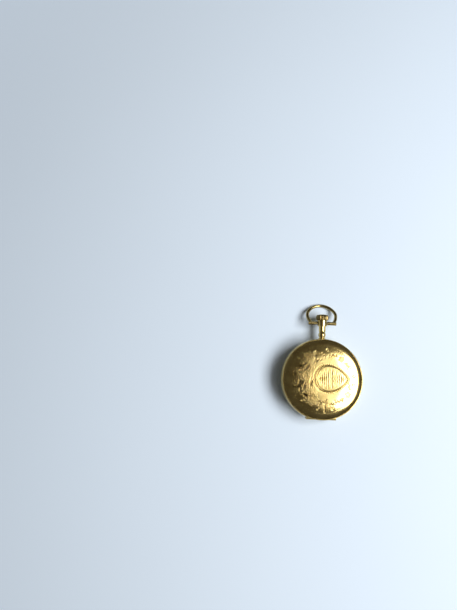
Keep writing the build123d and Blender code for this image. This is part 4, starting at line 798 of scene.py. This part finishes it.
class WATCH_PG_finish(bpy.types.PropertyGroup):
    """Colours of the watch's metals, enamel and print."""

    gold: bpy.props.FloatVectorProperty(
        name="Gold", description="Colour of the case", subtype="COLOR",
        default=(0.71, 0.56, 0.23), min=0, max=1,
    )
    gold_shade: bpy.props.FloatVectorProperty(
        name="Gold shade", description="Colour of the case where it is dull", subtype="COLOR",
        default=(0.56, 0.41, 0.15), min=0, max=1,
    )
    # colour of the patina in the engraved cuts; in the crown's grooves it also serves as painted
    # shade
    patina: bpy.props.FloatVectorProperty(
        name="Patina", description="Colour left in the engraved cuts", subtype="COLOR",
        default=(0.10, 0.055, 0.015), min=0, max=1,
    )
    enamel: bpy.props.FloatVectorProperty(
        name="Enamel", description="Colour of the dial", subtype="COLOR",
        default=(0.90, 0.89, 0.85), min=0, max=1,
    )
    ink: bpy.props.FloatVectorProperty(
        name="Ink", description="Colour of the numbers and tracks", subtype="COLOR",
        default=(0.015, 0.015, 0.02), min=0, max=1,
    )


class WATCH_PG_engraving(bpy.types.PropertyGroup):
    """Sizes of the engraved skins on the covers."""

    field_radius: bpy.props.FloatProperty(
        name="Field radius", description="How far out the engraved skin reaches",
        default=13.79 * MM, unit="LENGTH",
    )
    flat_radius: bpy.props.FloatProperty(
        name="Flat radius", description="Radius of the flat in the middle of a cover",
        default=6.0 * MM, unit="LENGTH",
    )
    depth: bpy.props.FloatProperty(
        name="Cut depth", description="Depth of the deepest cuts", default=0.095 * MM,
        unit="LENGTH", precision=6,
    )
    sink: bpy.props.FloatProperty(
        name="Sink", description="How far the cover is set back under its cut skin",
        default=0.11 * MM, unit="LENGTH", precision=6,
    )
    grid: bpy.props.IntProperty(
        name="Grid", description="Points along the engraved grid's side", default=301, min=31,
    )


class WATCH_PG_dial(bpy.types.PropertyGroup):
    """Sizes of the dial's print and of the hands."""

    numeral_radius: bpy.props.FloatProperty(
        name="Numeral radius", description="Radius of the ring of numbers",
        default=10.1 * MM, unit="LENGTH",
    )
    numeral_size: bpy.props.FloatProperty(
        name="Numeral size", description="Height of the numbers", default=3.2 * MM, unit="LENGTH",
    )
    numeral_weight: bpy.props.FloatProperty(
        name="Numeral weight", description="How much the numbers' strokes are thickened",
        default=0.05 * MM, unit="LENGTH", precision=6,
    )
    track_radius: bpy.props.FloatProperty(
        name="Track radius", description="Radius of the minute marks", default=13.0 * MM,
        unit="LENGTH",
    )
    seconds_radius: bpy.props.FloatProperty(
        name="Seconds radius", description="Radius of the seconds marks", default=2.7 * MM,
        unit="LENGTH",
    )
    print_thickness: bpy.props.FloatProperty(
        name="Print thickness", description="Thickness of the print", default=0.02 * MM,
        unit="LENGTH", precision=6,
    )
    hour_reading: bpy.props.FloatProperty(
        name="Hour reading", description="Turn of the hour hand from twelve",
        default=math.radians(305), subtype="ANGLE",
    )
    minute_reading: bpy.props.FloatProperty(
        name="Minute reading", description="Turn of the minute hand from twelve",
        default=math.radians(60), subtype="ANGLE",
    )


class WATCH_PG_stage(bpy.types.PropertyGroup):
    """Camera place, lamps and table."""

    camera_height: bpy.props.FloatProperty(
        name="Camera height", description="Height over the table", default=216.5 * MM,
        unit="LENGTH",
    )
    camera_left: bpy.props.FloatProperty(
        name="Camera left", description="How far left of the watch the camera is",
        default=39.2 * MM, unit="LENGTH",
    )
    camera_up: bpy.props.FloatProperty(
        name="Camera up", description="How far towards the crown the camera is",
        default=6.0 * MM, unit="LENGTH",
    )
    camera_tilt: bpy.props.FloatProperty(
        name="Camera tilt", description="Tilt from straight down towards the crown",
        default=math.radians(6.92), subtype="ANGLE",
    )
    camera_turn: bpy.props.FloatProperty(
        name="Camera turn", description="Turn of the picture against the watch",
        default=math.radians(2.5), subtype="ANGLE",
    )
    key_power: bpy.props.FloatProperty(
        name="Window power", description="Power of the window light", default=3.55, unit="POWER",
    )
    ceiling_power: bpy.props.FloatProperty(
        name="Ceiling power", description="Power of the light overhead", default=0.26, unit="POWER",
    )
    fill_power: bpy.props.FloatProperty(
        name="Fill power", description="Power of the light from the left", default=0.12,
        unit="POWER",
    )
    room_strength: bpy.props.FloatProperty(
        name="Room", description="Strength of the light from all round", default=0.08,
    )
    fade_start: bpy.props.FloatProperty(
        name="Fade start", description="Distance at which the table begins to fade out",
        default=0.15, unit="LENGTH",
    )
    fade_end: bpy.props.FloatProperty(
        name="Fade end", description="Distance at which the table has faded out",
        default=0.45, unit="LENGTH",
    )
    table_color: bpy.props.FloatVectorProperty(
        name="Table", description="Colour of the table", subtype="COLOR",
        default=(0.73, 0.85, 1.0), min=0, max=1,
    )


# Operators, one for each piece or group of like pieces


def paint(material, *nodes):
    """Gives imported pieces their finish."""
    for node in nodes:
        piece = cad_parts[node]
        if not piece.material_slots:
            piece.data.materials.append(material)
        for slot in piece.material_slots:
            slot.material = material


def ribbed_crown(material):
    """Winding button with rounded ribs, a hollow underside and a domed end; its grooves are marked
    for patina and painted shade.
    """
    middle = (crown_low + crown_high) / 2
    count = crown_ribs * rib_steps
    vertices = []
    groove_patina_and_shade = []
    for rise, radius, share in CROWN_PROFILE:
        for number in range(count if radius else 1):
            turn = 2 * math.pi * number / count
            wave = abs(math.sin(crown_ribs * turn / 2)) ** rib_roundness
            reach = (radius - rib_depth * share * (1 - wave)) * MM
            # patina and painted shade, darkest at the bottom of each groove and spread up its
            # flanks
            groove_patina_and_shade.append(share * min(groove_patina_and_shade_spread * (1 - wave), 1))
            x, z = reach * math.cos(turn), reach * math.sin(turn)
            vertices.append((x, crown_low.y + rise * MM, middle.z + z))
    faces = []
    tip = len(vertices) - 1
    last = tip - count
    for here, after in neighbours(count):
        faces.append((0, 1 + here, 1 + after))
        faces.append((last + here, tip, last + after))
        for low in range(1, last, count):
            faces.append((low + here, low + count + here, low + count + after, low + after))
    piece = mesh_piece("crown_button", vertices, faces, material)
    piece.data.set_sharp_from_angle(angle=math.radians(50))
    mark_cuts(piece, groove_patina_and_shade)
    return piece


class WATCH_OT_case(bpy.types.Operator):
    """Finishes the case, the covers, the pendant, the bow and the crown"""

    bl_idname = "watch.case"
    bl_label = "Case"

    def execute(self, context):
        finish = context.scene.watch_finish
        gold = metal("case gold", finish.gold, finish.gold_shade, 0.16, 0.3)[0]
        bright = metal("inner gold", finish.gold, finish.gold_shade, 0.08, 0.2, 150.0, 0.08)[0]
        rubbed = shade(finish.gold, rubbed_share)
        dulled = shade(finish.gold_shade, dulled_share)
        worn = metal("rubbed gold", rubbed, dulled, 0.16, 0.32, 500.0, 0.25)[0]
        # ribbed gold for the crown: patina and painted shade darken its grooves
        ribbed = engraved_metal("ribbed gold with patina and painted shade", rubbed, dulled, 0.14, 0.28, finish.patina)
        paint(gold, "case_center", "front_lid", "back_cover", "bezel", "pendant")
        paint(bright, "cuvette")
        paint(worn, "bow")
        crown = ribbed_crown(ribbed)
        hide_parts("crown")
        dress(crown, "crown")
        steel = metal("satin steel", (0.55, 0.55, 0.56), (0.36, 0.36, 0.37), 0.25, 0.45)[0]
        paint(
            steel, "front_hinge_pin", "back_hinge_pin", "bow_pins", "stem", "crown_sleeve",
            "lift_spring", "catch_spring", "spring_screws", "case_screws",
        )
        paint(clear_glass("watch glass"), "crystal")
        return {"FINISHED"}


class WATCH_OT_engraving(bpy.types.Operator):
    """Engraves the front cover and engine-turns the back cover"""

    bl_idname = "watch.engraving"
    bl_label = "Engraving"

    def execute(self, context):
        finish = context.scene.watch_finish
        settings = context.scene.watch_engraving
        engraved = engraved_metal(
            "engraved gold", finish.gold, finish.gold_shade, 0.1, 0.24, finish.patina
        )
        polished = metal("polished gold", finish.gold, finish.gold_shade, 0.12, 0.26)[0]
        for name, node, facing, cutter, grid in (
            ("front_engraving", "front_lid", 1, engrave_front, settings.grid),
            ("back_turning", "back_cover", -1, turn_back, settings.grid - 50),
        ):
            engraved_field(name, node, facing, (engraved, polished), cutter, grid, settings)
        return {"FINISHED"}


class WATCH_OT_movement(bpy.types.Operator):
    """Finishes the plates, wheels, springs, screws and jewels"""

    bl_idname = "watch.movement"
    bl_label = "Movement"

    def execute(self, context):
        nickel = striped_metal(
            "striped nickel", (0.66, 0.64, 0.58), (0.5, 0.48, 0.43), 0.2, 0.4, stripe_turn
        )
        plate = metal("frosted plate", (0.68, 0.62, 0.45), (0.55, 0.48, 0.33), 0.4, 0.6, 900.0)[0]
        brass = metal("gilt brass", (0.82, 0.6, 0.25), (0.66, 0.44, 0.15), 0.22, 0.4, 700.0)[0]
        steel = metal("polished steel", (0.62, 0.63, 0.65), (0.42, 0.43, 0.45), 0.12, 0.3)[0]
        blued = metal("blued steel", (0.04, 0.09, 0.42), (0.02, 0.04, 0.2), 0.12, 0.3)[0]
        spring = metal("spring steel", (0.4, 0.43, 0.5), (0.25, 0.27, 0.33), 0.25, 0.4)[0]
        ruby = glossy_stone("ruby", (0.55, 0.02, 0.1), (0.3, 0.0, 0.05), 0.05, 0.12, 900.0, 0.6)
        paint(nickel, "barrel_bridge", "train_bridge", "balance_cock", "pallet_cock")
        paint(plate, "main_plate")
        paint(
            brass, "barrel_drum", "barrel_cover", "centre_wheel", "third_wheel", "fourth_wheel",
            "minute_wheel", "hour_wheel", "balance_wheel",
        )
        paint(
            steel, "ratchet_wheel", "crown_wheel", "click", "centre_arbor", "third_arbor",
            "fourth_arbor", "escape_arbor", "escape_wheel", "cannon_pinion", "setting_wheel",
            "winding_pinion", "clutch_wheel", "pallet_fork", "balance_staff", "regulator",
            "barrel_arbor",
        )
        paint(blued, "bridge_screws", "winding_screws", "ratchet_screw", "hairspring")
        paint(spring, "click_spring", "mainspring")
        paint(ruby, "plate_jewels", "bridge_jewels", "pallet_stones")
        return {"FINISHED"}


class WATCH_OT_dial(bpy.types.Operator):
    """Prints the numbers and tracks on the enamel dial"""

    bl_idname = "watch.dial"
    bl_label = "Dial"

    def execute(self, context):
        finish = context.scene.watch_finish
        sizes = context.scene.watch_dial
        enamel = glossy_stone(
            "white enamel", finish.enamel, shade(finish.enamel, enamel_clouding),
            0.08, 0.16, 120.0, 0.5,
        )
        paint(enamel, "dial")
        ink = glossy_stone(
            "fired ink", finish.ink, shade(finish.ink, ink_sheen), 0.25, 0.4, 900.0, 0.2
        )
        sunk = seconds_hand_low - hand_clearance
        thickness = sizes.print_thickness
        tree = ring_tree()
        rings = []
        seconds = (seconds_centre.x, seconds_centre.y, sunk)
        line_radius = sizes.track_radius + line_offset
        for name, count, radius, length, width, centre, every, growth in (
            ("minute_marks", 60, sizes.track_radius, 0.62, 0.13, (0, 0, dial_top), 5, 0.9),
            ("track_line", 180, line_radius, 0.08, 0.46, (0, 0, dial_top), 1, 0.0),
            ("seconds_marks", 60, sizes.seconds_radius, 0.36, 0.08, seconds, 5, 0.8),
        ):
            rings.append(ring_of_marks(name, tree, {
                "Count": count, "Radius": radius, "Length": length * MM, "Width": width * MM,
                "Thickness": thickness, "Centre": centre, "Every": every, "Growth": growth,
                "Ink": ink,
            }))
        for number in NUMERALS:
            words = bpy.data.curves.new(f"numeral_{number}", "FONT")
            words.body = str(number)
            words.size = sizes.numeral_size
            words.align_x = words.align_y = "CENTER"
            words.extrude = thickness / 2
            words.offset = sizes.numeral_weight
            place = (*heading(180 - 30 * number) * sizes.numeral_radius, dial_top)
            piece = set_in_place(f"numeral_{number}", words, place, NUMERAL_AXES)
            bpy.context.view_layer.update()
            rings.append(plain_mesh(piece))
        dress(join_pieces("dial_print", rings, ink), "case")
        return {"FINISHED"}


class WATCH_OT_hands(bpy.types.Operator):
    """Makes the spade hands in blued steel"""

    bl_idname = "watch.hands"
    bl_label = "Hands"

    def execute(self, context):
        sizes = context.scene.watch_dial
        blued = metal("blued hands", (0.05, 0.11, 0.5), (0.03, 0.06, 0.28), 0.1, 0.22)[0]
        readings = (sizes.hour_reading, sizes.minute_reading)
        for reading, (node, body, length, eye) in zip(readings, HANDS):
            low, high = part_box(node)
            along = heading(180 - math.degrees(reading)) * MM
            across = np.array([-along[1], along[0]])
            turned = [x * along + y * across for x, y in spade_outline(length, eye)]
            piece = extruded_outline(node + "_shape", turned, low.z, high.z, blued, hand_bevel)
            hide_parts(node)
            dress(piece, body)
        paint(blued, "seconds_hand")
        return {"FINISHED"}


def spade_outline(length, eye_share):
    """Outline in millimetres of a spade hand along X, round its hub."""
    hub = 0.95
    stalk = 0.16
    eye = length * eye_share
    lobe = 0.78
    upper = [(-hub * math.cos(a), hub * math.sin(a)) for a in np.linspace(0, 2.6, 14)]
    upper += [(hub + 0.5, stalk), (eye - lobe * 1.5, stalk * 0.9)]
    upper += [
        (eye - lobe * math.cos(a), lobe * math.sin(a)) for a in np.linspace(0.35, 2.35, 14)
    ]
    upper += [(eye + lobe * 1.25, stalk * 1.5), (length, 0.03)]
    lower = [(x, -y) for x, y in reversed(upper) if abs(y) > 1e-6]
    return (upper + lower)[::-1]


class WATCH_OT_stage(bpy.types.Operator):
    """Sets the table, the lamps and the camera"""

    bl_idname = "watch.stage"
    bl_label = "Stage"

    def execute(self, context):
        scene = context.scene
        stage = scene.watch_stage
        scene.view_settings.view_transform = "Standard"
        material, tree, shader = principled("table")
        place = add_node(tree, "ShaderNodeTexCoord")
        cloud = add_node(
            tree, "ShaderNodeTexNoise",
            {"Vector": place.outputs["Object"], "Scale": cloud_scale, "Detail": 2.0},
        )
        tone = mixed_color(
            tree, cloud.outputs["Fac"], rgba(stage.table_color),
            rgba(shade(stage.table_color, cloud_shade)),
        )
        feed(tree, shader, {"Base Color": tone, "Roughness": table_roughness})
        length = add_node(
            tree, "ShaderNodeVectorMath", {0: place.outputs["Object"]}, operation="LENGTH"
        )
        reach = {"From Min": stage.fade_start, "From Max": stage.fade_end}
        fade = add_node(
            tree, "ShaderNodeMapRange", {"Value": length.outputs["Value"], **reach},
            interpolation_type="SMOOTHSTEP",
        )
        open_air = tree.nodes.new("ShaderNodeBsdfTransparent")
        blend = add_node(
            tree, "ShaderNodeMixShader",
            {0: fade.outputs["Result"], 1: shader.outputs["BSDF"], 2: open_air.outputs["BSDF"]},
        )
        feed(tree, tree.nodes["Material Output"], {"Surface": blend.outputs["Shader"]})
        size = table_reach * stage.fade_end
        corners = [(-size, -size, 0), (size, -size, 0), (size, size, 0), (-size, size, 0)]
        table = mesh_piece("table", corners, [(0, 1, 2, 3)], material)

        scene.world = bpy.data.worlds.new("room")
        scene.world.use_nodes = True
        tree = scene.world.node_tree
        ray = add_node(tree, "ShaderNodeLightPath")
        seen = math_result(
            tree, "MAXIMUM", ray.outputs["Is Camera Ray"], ray.outputs["Is Transmission Ray"]
        )
        color = mixed_color(
            tree, seen, rgba(shade(ROOM_COLOR, stage.room_strength)), rgba(stage.table_color)
        )
        feed(tree, tree.nodes["Background"], {"Color": color, "Strength": 1.0})

        right = Vector((math.cos(stage.camera_turn), math.sin(stage.camera_turn), 0))
        up = Vector((-math.sin(stage.camera_turn), math.cos(stage.camera_turn), 0))
        straight_up = Vector((0, 0, 1))
        powers = (stage.key_power, stage.ceiling_power, stage.fill_power)
        for power, (name, place, wide, tall, color) in zip(powers, LAMPS):
            lamp = bpy.data.lights.new(name, "AREA")
            lamp.shape = "RECTANGLE"
            lamp.size, lamp.size_y = wide, tall
            lamp.energy, lamp.color = power, color
            spot = right * place[0] + up * place[1] + straight_up * place[2]
            across = up.cross(spot).normalized()
            set_in_place(name, lamp, spot, (across, up, across.cross(up)))

        camera = bpy.data.cameras.new("camera")
        camera.sensor_width = sensor_width
        camera.lens = focal_pixels * sensor_width / photo_height
        camera.clip_start = 0.001
        cosine, sine = math.cos(stage.camera_tilt), math.sin(stage.camera_tilt)
        sight = sine * up - cosine * straight_up
        top = cosine * up + sine * straight_up
        spot = -stage.camera_left * right + stage.camera_up * up
        spot += stage.camera_height * straight_up
        scene.camera = set_in_place("camera", camera, spot, (right, top, -sight))
        return {"FINISHED"}


class WATCH_PT_panel(bpy.types.Panel):
    """Buttons that dress the watch"""

    bl_idname = "WATCH_PT_panel"
    bl_label = "Pendant watch"
    bl_space_type = "VIEW_3D"
    bl_region_type = "UI"
    bl_category = "Watch"

    def draw(self, context):
        for name in ("watch_finish", "watch_engraving", "watch_dial", "watch_stage"):
            settings = getattr(context.scene, name)
            box = self.layout.box()
            for label in settings.bl_rna.properties.keys():
                if label not in {"rna_type", "name"}:
                    box.prop(settings, label)
        for operator in OPERATORS:
            self.layout.operator(operator.bl_idname)


SETTINGS = {
    "watch_finish": WATCH_PG_finish,
    "watch_engraving": WATCH_PG_engraving,
    "watch_dial": WATCH_PG_dial,
    "watch_stage": WATCH_PG_stage,
}
OPERATORS = (
    WATCH_OT_stage,
    WATCH_OT_case,
    WATCH_OT_engraving,
    WATCH_OT_movement,
    WATCH_OT_dial,
    WATCH_OT_hands,
)


def register():
    """Registers the settings, the operators and the panel."""
    for kind in (*SETTINGS.values(), *OPERATORS, WATCH_PT_panel):
        bpy.utils.register_class(kind)
    for name, kind in SETTINGS.items():
        setattr(bpy.types.Scene, name, bpy.props.PointerProperty(type=kind))


def unregister():
    """Takes the settings, the operators and the panel out again."""
    for name in SETTINGS:
        delattr(bpy.types.Scene, name)
    for kind in reversed((*SETTINGS.values(), *OPERATORS, WATCH_PT_panel)):
        bpy.utils.unregister_class(kind)


def main():
    """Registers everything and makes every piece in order."""
    register()
    for operator in OPERATORS:
        group, name = operator.bl_idname.split(".")
        getattr(getattr(bpy.ops, group), name)()


if __name__ == "__main__":
    main()
